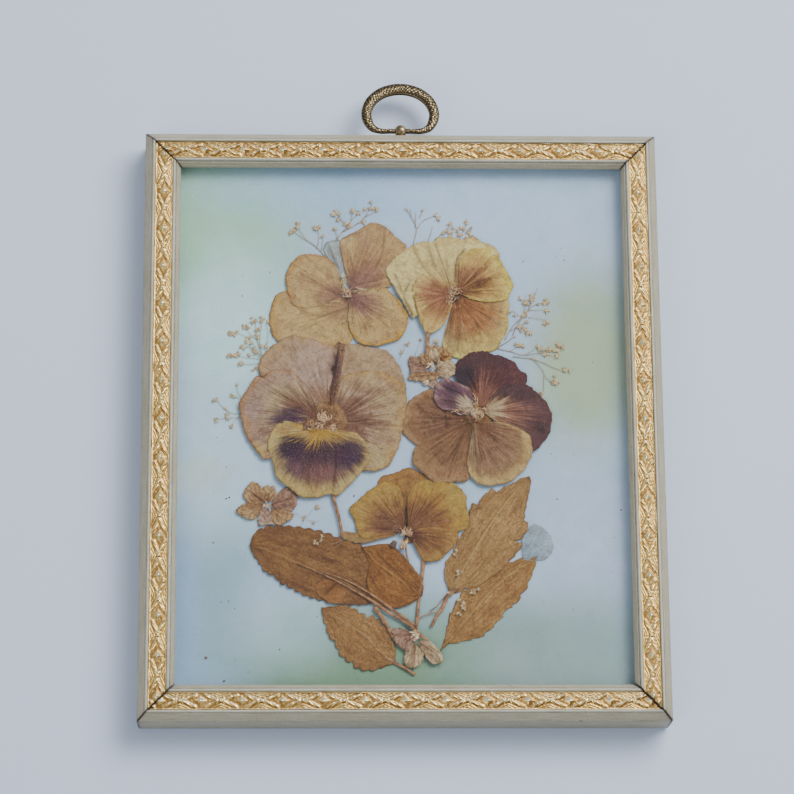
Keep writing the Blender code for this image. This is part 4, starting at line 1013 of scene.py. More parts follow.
petal("cream_petal_right", 3.4, [(18.2, 43.6), (18.2, 46.8), (18, 51), (18.6, 54), (20.6, 57.6), (25, 58.8),
      (29.5, 58), (32.6, 54), (34.6, 50.8), (36, 47.6), (36.6, 45.5), (35.5, 43.5), (34.2, 41.2), (28, 40.2),
      (22, 41.4)],
      petal_finish("cream_right", 8, (206, 196, 136), (194, 166, 112), (124, 86, 58), mid=(1.0, 0.7),
                   deep=(0.5, 0.12), jag=0.34, veins=0.5, rim=(206, 192, 112), rim_at=(0.84, 0.98),
                   patches=[((150, 108, 92), 23.5, 50.2, 5.5, 3.6, 20, 0.6, 0.8, 0.75),
                   ((96, 58, 38), 25.2, 46.6, 4.6, 2.2, 5, 0.55, 0.8, 0.85),
                   ((196, 172, 110), 24, 55.5, 8, 3.0, 10, 0.6, 0.3, 0.5)]),
      "pansy_2_petal_right", 108,
      [([(19, 44), (26, 43.2), (33, 42.4)], -0.07, 0.4), ([(18.4, 47), (18.8, 54)], 0.10, 0.4)], ripple=0.07)
petal("cream_petal_left_back", 4.2, [(15.8, 45), (15.4, 46.3), (13.4, 50.4), (12, 55), (10.8, 60), (8, 61), (4, 60.2),
      (1.4, 58.2), (-2.6, 55.2), (-5.4, 51), (-4, 47.5), (-2, 44), (0, 40.6), (1.4, 37.6), (3.3, 34.6), (4.4, 35.6),
      (6, 39), (9, 42)],
      petal_finish("cream_left_back", 9, CREAM, (206, 192, 146), (172, 140, 104), veins=0.2, jag=0.2, blotchy=0.15),
      "pansy_2_petal_left_back", 109,
      [([(2.2, 46.5), (0.6, 42), (3.2, 35.5)], -0.16, 0.55), ([(-2.2, 49.5), (0.2, 42.8), (3.2, 36.4)], 0.14, 0.5),
       ([(3.5, 59.5), (6.5, 53), (11, 47.6)], -0.10, 0.6), ([(8.6, 59), (11, 52)], 0.09, 0.6)], ripple=0.08)
petal("cream_petal_left_front", 5.2, [(16.2, 42.6), (15, 44.2), (13.6, 47), (10, 49), (6.4, 48.6), (4, 46.8),
      (3.2, 44), (4.5, 38), (6, 32.6), (8, 29.4), (10, 29.6), (13, 31.8), (15, 35), (16.3, 39)],
      petal_finish("cream_left_front", 10, (206, 188, 136), (190, 160, 116), (130, 88, 68), mid=(1.0, 0.72),
                   deep=(0.62, 0.16), jag=0.32, veins=0.5, rim=(204, 184, 128), rim_at=(0.84, 1.0),
                   patches=[((150, 106, 90), 11, 42.5, 5.6, 4.2, -10, 0.6, 0.9, 0.75),
                   ((156, 112, 84), 11.5, 37.6, 4.5, 2.6, 10, 0.6, 0.9, 0.5)]),
      "pansy_2_petal_left_front", 110, [([(4.6, 43.5), (4.4, 39), (6.6, 32.5)], 0.10, 0.45)],
      curl=0.03)

petal("mauve_petal_top_right", 2, [(-23.4, 3), (-21.4, 10), (-20.6, 16), (-19.8, 22), (-19, 25.6), (-15, 25.9),
      (-10, 24.7), (-5, 23.5), (-2, 20), (0, 16), (1, 11), (0.5, 7), (-4, 2), (-14, 0)],
      petal_finish("mauve_top_right", 11, (184, 156, 134), (174, 146, 132), (150, 118, 104), veins=0.12, jag=0.2,
                   blotchy=0.4),
      "pansy_3_petal_top_right", 111, [([(-20.2, 24.5), (-20.6, 18), (-22.6, 10)], -0.12, 0.6)])
petal("mauve_petal_top_left", 3, [(-24.6, 3.4), (-22.6, 9), (-21.4, 15), (-20.4, 20), (-20.2, 25.2), (-24, 25.6),
      (-28, 27), (-33, 28.3), (-37, 28.5), (-41, 26), (-44, 23.5), (-46.4, 20), (-46.6, 16), (-44.6, 14), (-38, 10),
      (-31, 5)],
      petal_finish("mauve_top_left", 12, (188, 158, 146), (186, 160, 152), (150, 112, 92), mid=(0.9, 0.4),
                   deep=(0.4, 0.05), veins=0.25, jag=0.25, blotchy=0.35, rim=(184, 150, 120),
                   patches=[((176, 148, 116), -38, 23, 4.5, 6, 0, 0.6, 0.2, 0.4),
                   ((198, 172, 164), -29, 21, 6, 5, 0, 0.7, 0.2, 0.5),
                   ((96, 70, 66), -22.0, 19.5, 1.5, 4.6, -14, 0.7, 0.2, 0.8)]),
      "pansy_3_petal_top_left", 112,
      [([(-20.6, 24.6), (-21.2, 20), (-23.2, 16.6)], -0.2, 0.6), ([(-36.5, 28), (-34, 20.5)], 0.09, 0.5),
       ([(-22.5, 10.2), (-23.6, 3.6)], -0.16, 0.5)])
petal("mauve_petal_right", 3.4, [(-23.2, -0.6), (-22.4, 2), (-22, 6), (-21, 10), (-19.2, 14.6), (-15, 16.2),
      (-10, 16.7), (-6, 16), (-1.4, 13.6), (0.9, 10), (1, 4), (-0.2, -3), (-1.4, -8.6), (-4, -14), (-6, -16),
      (-10, -17), (-13.4, -16.5), (-14, -12), (-16, -7), (-19, -3.6)],
      petal_finish("mauve_right", 13, (190, 164, 136), (184, 156, 140), (128, 90, 78), mid=(0.9, 0.55),
                   deep=(0.5, 0.18), jag=0.34, veins=0.45, rim=(190, 156, 120), blotchy=0.4,
                   patches=[((122, 86, 76), -15.5, 1.2, 5.2, 4.4, 0, 0.5, 1.3, 0.85),
                   ((196, 176, 142), -9.5, -12.4, 5, 3, -30, 0.6, 0.3, 0.6),
                   ((168, 134, 122), -4.5, -6.5, 3.4, 3.0, 0, 0.6, 0.3, 0.4)]),
      "pansy_3_petal_right", 113, [([(-20.6, 13.8), (-21.6, 6.5)], 0.10, 0.4)])
petal("mauve_petal_left", 4.2, [(-26.9, 0.6), (-28.4, 6), (-31, 11.6), (-34, 14.6), (-36, 16.4), (-40, 17),
      (-44, 16.2), (-45.6, 14.6), (-47.6, 14.8), (-50, 11), (-52.5, 7), (-53, 3), (-52, -1), (-51, -5), (-48.5, -9),
      (-47, -11), (-45, -13), (-42.6, -12.6), (-38, -8), (-31, -2.4)],
      petal_finish("mauve_left", 14, (176, 146, 138), (190, 166, 146), (122, 84, 72), mid=(0.95, 0.6),
                   deep=(0.52, 0.2), jag=0.34, veins=0.45, rim=(180, 142, 118), blotchy=0.3,
                   patches=[((196, 172, 146), -40.0, 8.0, 6.5, 4.2, 30, 0.6, 0.6, 0.6),
                   ((116, 80, 70), -35.0, 4.0, 5.2, 4.6, -30, 0.5, 1.2, 0.8),
                   ((74, 48, 72), -37.2, 1.2, 5.2, 2.6, 6, 0.5, 0.7, 0.92),
                   ((194, 168, 128), -46.2, -10.2, 2.6, 2.2, 0, 0.6, 0.3, 0.8),
                   ((158, 130, 134), -47.6, 4.0, 2.6, 4.0, 0, 0.7, 0.5, 0.5)]),
      "pansy_3_petal_left", 114,
      [([(-47, 15), (-45.2, 14.4), (-44, 16.2)], -0.16, 0.45), ([(-28.6, 9.6), (-33.6, 13.6)], 0.10, 0.4)], curl=0.04)
petal("mauve_petal_lip", 5.2, [(-27, -3.2), (-31, -2.4), (-34, -1.5), (-38, -0.4), (-40.4, -1.4), (-43, -5),
      (-44, -9), (-42.7, -13), (-41.6, -17), (-40, -20), (-37, -22.6), (-33, -25.6), (-30.6, -26.1), (-27, -25.6),
      (-24, -24.8), (-21, -25.4), (-18, -22.2), (-15, -19.2), (-12.8, -16.4), (-11, -13), (-11.5, -9), (-13, -6.5),
      (-15.5, -4.2), (-20, -4), (-24, -3.6)],
      petal_finish("mauve_lip", 15, (198, 176, 138), (190, 164, 126), (180, 142, 98), mid=(0.95, 0.7),
                   deep=(0.30, 0.14), jag=0.12, veins=0.35, rays=34, rim=(198, 172, 128), blotchy=0.3,
                   patches=[((78, 48, 70), -27.5, -13.4, 12.8, 7.8, 0, 0.32, 0.32, 0.95),
                   ((44, 19, 48), -36.2, -9.2, 4.6, 4.0, 20, 0.4, 0.35, 0.9),
                   ((52, 26, 54), -17.0, -11.4, 4.6, 4.8, -30, 0.4, 0.35, 0.92),
                   ((58, 26, 44), -26.5, -11.0, 8.5, 4.2, 0, 0.5, 0.4, 0.7),
                   ((216, 176, 108), -26.4, -4.2, 4.4, 3.0, 0, 0.3, 2.2, 0.92),
                   ((140, 98, 92), -26.5, -18.0, 6.5, 3.0, 0, 0.6, 0.8, 0.55)]),
      "pansy_3_petal_lip", 115,
      [([(-22.2, -9), (-22, -16), (-22.9, -25.4)], -0.2, 0.45), ([(-31, -19), (-29, -25)], 0.08, 0.5)], ripple=0.06)

lay_heel("mauve_heel", 4.5, [(-25.6, 0.4), (-31.4, 0.6), (-31.2, -2.6), (-27, -4.2), (-21.6, -4.4), (-18.4, -2.4),
         (-18.8, 1.4), (-20.6, 4.6), (-24.4, 6.4), (-28.6, 4.6)],
         petal_finish("mauve_heel", 65, (158, 124, 96), (140, 104, 84), (118, 82, 62), rays=18, blotchy=0.5),
         148, 18, 60)
petal("mauve_seam", 3.5, [(-24, 1), (-25.4, 6), (-23.6, 12.6), (-22.6, 19), (-21.8, 24.8), (-20.4, 26.4),
      (-18.8, 25.2), (-19.6, 19), (-20.6, 12.6), (-21.4, 6)],
      petal_finish("mauve_seam", 66, (150, 116, 100), (116, 82, 74), (132, 96, 78), rays=10, blotchy=0.5,
                   patches=[((70, 42, 60), -22.4, 19.0, 1.8, 4.4, 0, 0.6, 0.4, 0.85)]),
      None, 149, [([(-20.4, 25.4), (-21.2, 20), (-22.6, 12), (-23.6, 4)], 0.24, 0.5),
      ([(-21.6, 24), (-22.4, 18), (-23.6, 12)], -0.2, 0.4)], rows=36, cols=110, frill=0.5, crumple=(2.6, 0.2, 0.9))

lay_heel("terracotta_heel", 0.8, [(23.4, 1.2), (19.6, 2.4), (18.2, 0.2), (19.4, -2.6), (23, -3.4), (27.2, -2.2),
         (29.6, 0.6), (29, 4.2), (26.2, 6.4), (22.8, 5.4)],
         petal_finish("terracotta_heel", 67, (184, 136, 96), (166, 112, 78), (124, 76, 50), rays=18),
         158, 16, 50)
petal("purple_petal_left", 1.6, [(20.6, 0.6), (15, 4.8), (9.6, 10.4), (6, 9.5), (3, 7.5), (1, 5), (0, 0), (-0.5, -3),
      (1, -5.5), (3, -7.3), (5.4, -8.4), (10, -8), (17, -5)],
      petal_finish("terracotta_left", 16, (154, 110, 84), (140, 98, 80), (120, 76, 58), mid=(0.95, 0.5), veins=0.55,
                   jag=0.3, blotchy=0.35, rim=(182, 140, 112)),
      "pansy_4_petal_left", 116,
      [([(13.6, 3.6), (13.9, -2)], -0.18, 0.4), ([(4, 6), (10, 0)], 0.07, 0.6)])
petal("purple_petal_top", 2.4, [(25, 4.6), (23, 8.6), (19, 12.4), (16.6, 15.2), (17, 18.5), (19.5, 21.3), (23, 23.3),
      (25, 23.7), (29, 22.8), (33, 21.3), (36, 20.3), (38, 17.5), (40.3, 15.4), (39.8, 12), (36, 9), (29, 5)],
      petal_finish("purple_top", 17, (92, 52, 62), (108, 64, 62), (172, 130, 100), mid=(0.8, 0.45), deep=(0.5, 0.18),
                   jag=0.3, veins=0.4, blotchy=0.1, rays=22, dots=0.2,
                   patches=[((52, 38, 58), 19.8, 14.6, 3.6, 5.0, -24, 0.5, 0.4, 0.95),
                   ((84, 58, 64), 26, 20.5, 8, 3, 0, 0.6, 0.4, 0.6),
                   ((170, 128, 116), 27.6, 10.0, 2.6, 5, 8, 0.7, 0.9, 0.7),
                   ((122, 86, 84), 37.5, 15, 2.2, 3.6, 20, 0.7, 0.4, 0.5)]),
      "pansy_4_petal_top", 117,
      [([(20.6, 16.6), (24.4, 9.6)], -0.16, 0.6), ([(30.5, 14), (28, 7)], 0.08, 0.5)])
petal("purple_petal_right", 3.2, [(26, 3), (28.6, 7.4), (31, 10.6), (33.4, 12), (37, 12.5), (40, 12.2), (43, 9.8),
      (46, 7), (47.7, 4), (48.4, 1), (47.5, -4), (45.5, -7), (43, -10), (41.6, -9.6), (38, -6.6), (31, -1.4)],
      petal_finish("purple_right", 18, (106, 78, 84), (134, 102, 96), (184, 148, 114), mid=(0.84, 0.5),
                   deep=(0.62, 0.24), jag=0.34, veins=0.4, blotchy=0.1, rays=22, dots=0.2, rim=(104, 72, 74),
                   patches=[((84, 60, 68), 36.5, 9.2, 6, 2.6, -8, 0.6, 0.4, 0.8),
                   ((186, 146, 130), 34.5, 3.0, 6, 2.4, -6, 0.7, 1.0, 0.7),
                   ((70, 52, 60), 44.6, -2.6, 1.6, 2.4, 20, 0.6, 0.3, 0.7),
                   ((290, 266, 216), 28.6, 3.4, 3.6, 2.8, 0, 0.4, 1.6, 0.85)]),
      "pansy_4_petal_right", 118,
      [([(31.6, 10.6), (36, 12.3), (40, 12.1)], 0.10, 0.3), ([(43.4, -0.6), (45, -4.2)], -0.10, 0.35)], curl=0.05)
petal("purple_petal_lower_left", 3.8, [(22.2, -0.4), (17, -2), (11, -4.6), (5, -8), (3, -10.5), (3.2, -15),
      (6, -17.5), (9, -20.5), (12, -21), (16, -20.5), (20, -20.4), (21.4, -18), (22.4, -10)],
      petal_finish("terracotta_lower_left", 19, (166, 122, 94), (152, 108, 84), (120, 78, 58), mid=(0.98, 0.5),
                   veins=0.62, jag=0.3, blotchy=0.25, rays=24, rim=(176, 134, 104),
                   patches=[((176, 130, 104), 14, -17.5, 6, 2.4, 0, 0.6, 0.5, 0.5)]),
      "pansy_4_petal_lower_left", 119,
      [([(20, -4), (16, -13), (14.6, -19)], 0.08, 0.5), ([(8, -9), (13, -15)], -0.06, 0.6)], ripple=0.07)
petal("purple_petal_lower_right", 4.8, [(23, -1.2), (26.5, -0.7), (31, -0.6), (36, -2), (39.5, -4), (41.3, -6.5),
      (41.6, -11), (39.5, -15.5), (36, -19.4), (32, -21.3), (28, -21.8), (24, -21.1), (21.5, -18.5), (20.6, -15),
      (21.2, -10), (22.2, -4)],
      petal_finish("terracotta_lower_right", 20, (200, 160, 118), (158, 118, 94), (142, 96, 74), mid=(0.95, 0.76),
                   deep=(0.7, 0.2), jag=0.14, veins=0.5, rays=24, blotchy=0.15, rim=(206, 166, 126),
                   rim_at=(0.8, 0.97), patches=[((204, 170, 140), 22.6, -7.0, 1.3, 6.5, 3, 0.7, 0.3, 0.75),
                   ((156, 116, 98), 30, -10.5, 6, 5.5, 0, 0.6, 0.8, 0.5)]),
      "pansy_4_petal_lower_right", 120,
      [([(22.8, -2), (23.2, -12)], 0.12, 0.5), ([(27, -3), (34, -12)], 0.06, 0.6)], ripple=0.06)
petal("purple_petal_small", 4.4, [(22.6, 3.6), (22.8, 6), (22.2, 9.8), (20.6, 11.4), (17, 12.9), (14.4, 14.2),
      (12.6, 13.6), (10.6, 11.6), (9.9, 8.6), (10.6, 5.6), (13, 3.7), (16, 2.9), (18.6, 1.7), (21.2, 2)],
      petal_finish("purple_small", 21, (190, 168, 172), (132, 98, 122), (290, 280, 225), mid=(1.05, 0.78),
                   deep=(0.52, 0.3), jag=0.3, veins=0.3, rays=14, blotchy=0.1, dots=0.1,
                   patches=[((82, 60, 84), 15.4, 10.4, 3.2, 2.0, -30, 0.6, 0.6, 0.85),
                   ((96, 72, 90), 15.0, 6.0, 2.6, 1.4, -10, 0.6, 0.6, 0.6)]),
      "pansy_4_petal_small", 121,
      [([(12.4, 11.8), (18.6, 9)], 0.14, 0.4), ([(11.2, 7.4), (17, 6)], 0.10, 0.4)], rows=22, cols=70, ripple=0.1,
      lobes=7)

lay_heel("gold_heel", 0.9, [(0.9, -36.6), (-3.2, -37.2), (-3, -32), (-1.6, -26), (-0.6, -22.4), (1.8, -22),
         (3.4, -26), (4.6, -32), (5.2, -37.4), (3.4, -40.2), (-0.6, -40.4)],
         petal_finish("gold_heel", 68, (140, 96, 62), (118, 78, 54), (96, 62, 44), rays=18),
         168, 20, 56)
petal("gold_petal_top", 1.4, [(1, -29), (-5, -23.6), (-8.4, -21), (-6.5, -18.4), (-3, -17.6), (0, -16.2), (2, -15.7),
      (4, -16.6), (7, -18.6), (10, -20.6), (14, -20.7), (17.6, -22.6), (12, -25)],
      petal_finish("gold_top", 22, (188, 146, 92), (182, 140, 88), (150, 104, 70), veins=0.3, blotchy=0.4,
                   rim=(170, 124, 76)), "pansy_5_petal_top", 122, [([(-4, -20), (3, -18)], 0.08, 0.4)])
petal("gold_petal_folded", 2.4, [(-8, -38.2), (-12, -37.6), (-16.5, -37.6), (-20, -36.8), (-20.4, -38.6),
      (-17.5, -40.2), (-13, -40.8), (-9, -40)],
      petal_finish("gold_folded", 23, (190, 158, 108), (176, 140, 96), (150, 112, 80), veins=0.3),
      "pansy_5_petal_folded", 123, rows=12, cols=40)
petal("gold_petal_left", 3.2, [(0.2, -36.6), (0.3, -30), (-0.2, -24.4), (-3, -20.8), (-6.5, -20.6), (-10, -22.4),
      (-14, -26), (-17, -28.6), (-17.5, -30.4), (-15.8, -33.5), (-15, -37), (-14, -38.6), (-10, -39.7), (-6, -39.1),
      (-2.5, -38)],
      petal_finish("gold_left", 24, (204, 172, 106), (192, 152, 98), (132, 88, 64), mid=(0.95, 0.66),
                   deep=(0.58, 0.12), jag=0.34, veins=0.45, rim=(196, 158, 92), blotchy=0.35, dots=0.7,
                   patches=[((142, 96, 74), -6.4, -34.6, 4.8, 3.4, 20, 0.6, 0.8, 0.7)]),
      "pansy_5_petal_left", 124,
      [([(-1, -22), (0.6, -29), (0.4, -35)], -0.14, 0.5), ([(-4, -33), (-10, -27)], 0.08, 0.6)], ripple=0.07)
petal("gold_petal_right", 3.6, [(1.2, -36.4), (1.3, -30), (1.2, -26), (3, -22), (5, -20.2), (8, -19.8), (12, -20.6),
      (15, -20.6), (18, -22.5), (20, -25), (20.5, -30), (21, -34), (20, -36), (17, -37), (12, -38), (5, -37.6)],
      petal_finish("gold_right", 25, (204, 170, 100), (186, 142, 88), (132, 90, 62), mid=(0.95, 0.6),
                   deep=(0.6, 0.14), jag=0.34, veins=0.45, rim=(196, 164, 98), blotchy=0.4, dots=0.8,
                   patches=[((150, 104, 74), 8.0, -33.6, 5.4, 3.4, -10, 0.6, 0.8, 0.7),
                   ((206, 182, 112), 16.5, -26, 3, 5, 0, 0.7, 0.3, 0.6)]),
      "pansy_5_petal_right", 125,
      [([(1.4, -24), (0.9, -30), (1.2, -35)], 0.12, 0.4), ([(10, -21), (8, -29)], 0.06, 0.6)], ripple=0.07)
petal("gold_petal_lower_right", 4.6, [(1.8, -37.6), (5, -36), (10, -35.6), (14.5, -36.4), (17.2, -37.2),
      (17.4, -39.5), (16, -42), (13.5, -44.2), (12, -46), (9, -47), (6, -46.4), (4, -43), (2.6, -40)],
      petal_finish("gold_lower_right", 26, (194, 158, 100), (176, 132, 86), (116, 72, 54), mid=(1.0, 0.6),
                   deep=(0.56, 0.14), jag=0.34, veins=0.5, rim=(186, 148, 92), blotchy=0.4,
                   patches=[((158, 112, 76), 10.5, -40, 4, 2.6, -30, 0.6, 0.8, 0.6)]),
      "pansy_5_petal_lower_right", 127, [([(3, -38.5), (9, -41), (13, -44)], 0.07, 0.5)], rows=24,
      cols=80)

# ---------------------------------------------------------------- leaves and stems

leaf("large_leaf", 1.6, [(-8, -60.3), (-15, -56), (-22, -52), (-30, -49), (-38, -45.5), (-44, -43), (-49.3, -41.6)],
     [(-8, -60.3), (-15, -60.9), (-21, -60.4), (-26, -59.5), (-31, -58), (-37, -55), (-40, -53.5), (-41, -52),
      (-44.5, -50), (-46.5, -47), (-48.5, -44), (-49.3, -41.6)],
     [(-8, -60.3), (-6, -54), (-7, -47), (-12, -42), (-20, -39.4), (-25, -37.2), (-30, -36), (-36, -35.1), (-41, -35),
      (-45, -35.5), (-48, -37.6), (-49.3, -41.6)],
     leaf_finish("leaf_large_brown", 31, (184, 140, 94), (158, 112, 72), (112, 74, 46), (0.46, 0.41, 0.27)),
     "leaf_large", 131, [([(-26, -59.4), (-28, -54), (-22, -51)], -0.14, 0.5),
                         ([(-45, -38), (-36, -42), (-24, -46), (-14, -50)], 0.12, 0.6),
                         ([(-40, -36), (-30, -41), (-20, -45)], -0.08, 0.5),
                         ([(-11.5, -60), (-12.4, -54), (-11.2, -49)], -0.14, 0.4)], teeth=(-0.85, 19))
leaf("round_leaf", 2.6, [(-13.6, -42), (-9.6, -46.6), (-4.6, -50.2), (0.4, -54), (5.6, -58)],
     [(-13.6, -42), (-11.4, -48), (-12, -54), (-10, -59.8), (-5, -62), (1, -61), (5.6, -58)],
     [(-13.6, -42), (-5, -41), (-1, -44), (3, -49), (5.5, -52.5), (6.1, -55.5), (5.6, -58)],
     leaf_finish("leaf_round_orange", 32, (180, 130, 80), (156, 104, 60), (108, 66, 36), (0.56, 0.50, 0.24),
                 slope=1.6),
     "leaf_round", 132, [([(-9, -44), (-5, -48), (0, -53), (2, -55.5)], -0.18, 0.55),
                         ([(-12, -56), (-8, -50), (-7, -45)], 0.08, 0.6)], teeth=(0.0, 4))
leaf("lower_left_leaf", 1.0, [(-3, -79.4), (-8, -76), (-12, -71.4), (-17, -67.6), (-22, -64.4), (-26.5, -61.7)],
     [(-3, -79.4), (-5.5, -80.5), (-8, -81.3), (-10.5, -82), (-15, -81.5), (-16.5, -80), (-19.5, -78), (-21, -76),
      (-22, -73.5), (-24, -71), (-24.8, -68.5), (-26, -65), (-26.5, -61.7)],
     [(-3, -79.4), (-3, -75), (-4, -72), (-5.5, -69), (-8, -66.2), (-10, -64.5), (-12, -64.6), (-14, -63.4),
      (-17, -61.5), (-20, -61), (-26.5, -61.7)],
     leaf_finish("leaf_lower_left_brown", 33, (190, 142, 90), (166, 116, 70), (120, 78, 44), (0.615, 0.65, 0.59)),
     "leaf_lower_left", 133, [([(-24, -64), (-18, -70), (-10, -77)], 0.08, 0.5)], teeth=(-0.9, 12))
leaf("jagged_leaf", 1.0, [(14.5, -57), (18.4, -50), (23, -42), (28, -34), (34, -26), (40.6, -18.6)],
     [(14.5, -57), (12.8, -52), (12.8, -49), (13.5, -46), (15, -45), (17, -40), (20.8, -34), (21, -30), (22, -27.4),
      (23.8, -28), (25, -25.5), (28.5, -22.5), (30, -24), (32, -22.3), (35, -21), (38, -19), (40.6, -18.6)],
     [(14.5, -57), (17, -57), (19, -55.5), (23, -55), (27, -52.5), (31.5, -49.3), (34, -46.5), (36, -44), (38.5, -41),
      (35, -40), (37.5, -39.5), (40, -36), (40, -34), (38.5, -33.5), (39.5, -28), (40.5, -24), (41.2, -20),
      (40.6, -18.6)],
     leaf_finish("leaf_jagged_tan", 34, (190, 148, 100), (170, 126, 82), (128, 86, 52), (0.69, 0.745, 0.65)),
     "leaf_jagged", 134, [([(21.5, -30.5), (24.5, -28.6)], 0.16, 0.5), ([(24, -50), (30, -44), (36, -41)], 0.08, 0.6),
     ([(18, -44), (22, -36)], 0.08, 0.6)], teeth=(0.6, 20), sharp=True, rows=90)
leaf("lower_right_leaf", 0.1, [(11.2, -75.7), (16, -70), (21, -64), (27, -57), (34, -50.6), (42.6, -45)],
     [(11.2, -75.7), (12.5, -72), (13.5, -68), (14.5, -63.5), (17, -59), (19, -56), (26, -52), (31, -48.6), (36, -46),
      (40, -45), (42.6, -45)],
     [(11.2, -75.7), (14, -73.6), (17, -73), (20, -72.3), (24, -71.3), (25.3, -70.5), (29, -67), (30.5, -65.5),
      (32.5, -62.5), (36, -60), (37, -58), (39, -55.5), (40, -53), (42, -48), (42.6, -45)],
     leaf_finish("leaf_lower_right_brown", 35, (188, 142, 90), (166, 118, 72), (124, 80, 44), (0.68, 0.73, 0.62)),
     "leaf_lower_right", 135, [([(16, -66), (24, -56), (33, -49)], 0.08, 0.5)], teeth=(0.75, 11))

petal("leaf_flap", 2.5, [(-21.4, -53.6), (-25.2, -52.8), (-28.8, -54.4), (-27.8, -57.8), (-24, -60.4), (-19.8, -60.6),
      (-18.6, -57.4)],
      petal_finish("leaf_flap", 69, (196, 156, 116), (184, 142, 102), (166, 122, 86), rays=5, veins=0.2),
      None, 236, [([(-21.4, -53.6), (-25.4, -57.6)], 0.12, 0.4)], rows=18, cols=56, sharp=True)

STEM = fibre_finish("dried_stem", (162, 122, 86), (92, 62, 40))
TWIG = fibre_finish("dried_twig", (180, 160, 124), (138, 114, 84))
BUD = fibre_finish("dried_bud", (214, 198, 164), (156, 132, 98), (0.9, 8.0))
STAMEN = fibre_finish("dried_stamen", (214, 190, 152), (132, 94, 66), (1.4, 9.0))
STAMEN_DARK = fibre_finish("dark_stamen", (150, 104, 72), (80, 52, 38), (1.4, 9.0))
HOLLOW = fibre_finish("dark_throat", (92, 66, 46), (46, 32, 26), (1.4, 9.0))
BUD_WHITE = fibre_finish("pale_bud", (222, 208, 184), (166, 134, 104), (1.2, 9.0))

lay_stem("long_stem_upper", "stem_long_upper",
         stalk([(3.2, -67.8), (-2, -63.9), (-6, -60.9), (-11, -57.3), (-15.4, -54.6), (-21, -52), (-28, -49.6)], 1.15,
               4.4, seed=1, taper=0.85))
lay_stem("long_stem_lower", "stem_long_lower",
         stalk([(3, -68.9), (0, -66.3), (-6, -62.8), (-11, -59.3), (-20.5, -53.8), (-27, -50.6), (-34, -47.6)], 1.25,
               3.9, seed=2, taper=0.85))
lay_stem("cream_pansy_stem", "stem_pansy_2",
         stalk([(8.2, 30), (8.2, 27), (8, 24), (7.8, 20.4)], 1.35, 4.4, 0.2, 3, 0.1))
lay_stem("mauve_pansy_stem", "stem_pansy_3",
         stalk([(-23.2, -23), (-22.4, -26.6), (-21, -31.6), (-19.8, -38)], 1.25, 3.2, 0.2, 4, 0.3),
         stalk([(-22.6, -24.2), (-22, -28.2), (-20.6, -33)], 0.5, 3.6, 0.15, 14))
lay_stem("gold_pansy_stem", "stem_pansy_5",
         stalk([(6.3, -44.5), (5.9, -49.5), (5.2, -55), (4.4, -61), (3.9, -66), (3.5, -68.8)], 1.25, 1.5, 0.2, 5,
               0.2), stalk([(1.2, -47), (0.6, -43.6), (0.4, -40)], 0.7, 4.4, 0.15, 15))
lay_stem("right_stem", "stem_right",
         stalk([(17, -55.6), (14, -57.6), (12.5, -61), (10.5, -64), (8.4, -68)], 1.3, 2.6, 0.2, 6),
         stalk([(3.4, -68.2), (4.5, -65.5), (7, -64), (12.4, -62.8)], 0.45, 2.2, 0.12, 16),
         stalk([(8, -63), (10.5, -61), (14.2, -56.4)], 0.35, 2.2, 0.12, 17))
lay_stem("dark_stem", None, stalk([(-9.6, -61.6), (-6.6, -66), (-3.6, -71.4)], 1.5, 2.9, 0.22, 7, 0.15),
         stalk([(3, -69), (5, -70.8), (7.4, -72.8)], 1.3, 4.6, 0.2, 8),
         stalk([(-6.5, -77.8), (-3, -79.6), (0.4, -81.6), (3.2, -83.4)], 1.0, 1.6, 0.2, 9, 0.1))

# ---------------------------------------------------------------- florets

FLORET_TAN = petal_finish("floret_tan", 41, (196, 166, 130), (184, 152, 118), (148, 110, 82), veins=0.4, rays=12,
    blotchy=0.35, jag=0.2)
FLORET_PINK = petal_finish("floret_pink", 42, (200, 176, 156), (190, 162, 144), (160, 126, 110), veins=0.35, rays=12,
    blotchy=0.2, jag=0.2)
FLORET_MAUVE = petal_finish("floret_mauve", 43, (172, 142, 122), (166, 132, 114), (140, 104, 88), veins=0.3, rays=10,
    blotchy=0.3, jag=0.2)
FLORET_CREAM = petal_finish("floret_cream", 45, (216, 194, 162), (206, 182, 150), (172, 140, 112), veins=0.4, rays=12,
    blotchy=0.2, jag=0.2)
floret("left_floret_a", 2.2, [(-44.6, -27.6), (-47.8, -27.8), (-51, -26.4), (-51.2, -23.4), (-48.5, -20.5),
       (-45.6, -22.3), (-44.2, -25.4)], FLORET_TAN, 201, [([(-45, -27), (-49.5, -23.5)], 0.14, 0.4)], "florets_left")
floret("left_floret_b", 2.9, [(-43.8, -27.4), (-45.6, -24.6), (-45, -22.2), (-42, -22), (-41, -24.4), (-42.4, -27)],
       FLORET_TAN, 202)
floret("left_floret_c", 1.8, [(-42.6, -28.4), (-41.2, -24.6), (-38, -22.5), (-34.6, -24.2), (-34.4, -28),
       (-36.6, -30.6), (-41, -29.6)], FLORET_MAUVE, 203, [([(-42, -28), (-36, -26)], -0.12, 0.4)])
floret("left_floret_d", 2.5, [(-44.6, -28.6), (-46.8, -26.8), (-50.4, -27.4), (-53.6, -29.4), (-53.4, -31),
       (-50, -32.8), (-48, -33), (-46.4, -31)], FLORET_TAN, 204)
floret("left_floret_e", 2.2, [(-43.6, -29.2), (-46, -30), (-46.8, -33), (-46.3, -35.1), (-43.6, -34.6), (-41, -34.8),
       (-42.3, -32.4)], FLORET_PINK, 205)
floret("left_floret_f", 3.2, [(-42.6, -29.4), (-40.5, -29.6), (-37, -30.3), (-35.2, -32), (-37.5, -33.8),
       (-40, -34.9), (-42.6, -33.4)], FLORET_TAN, 206)
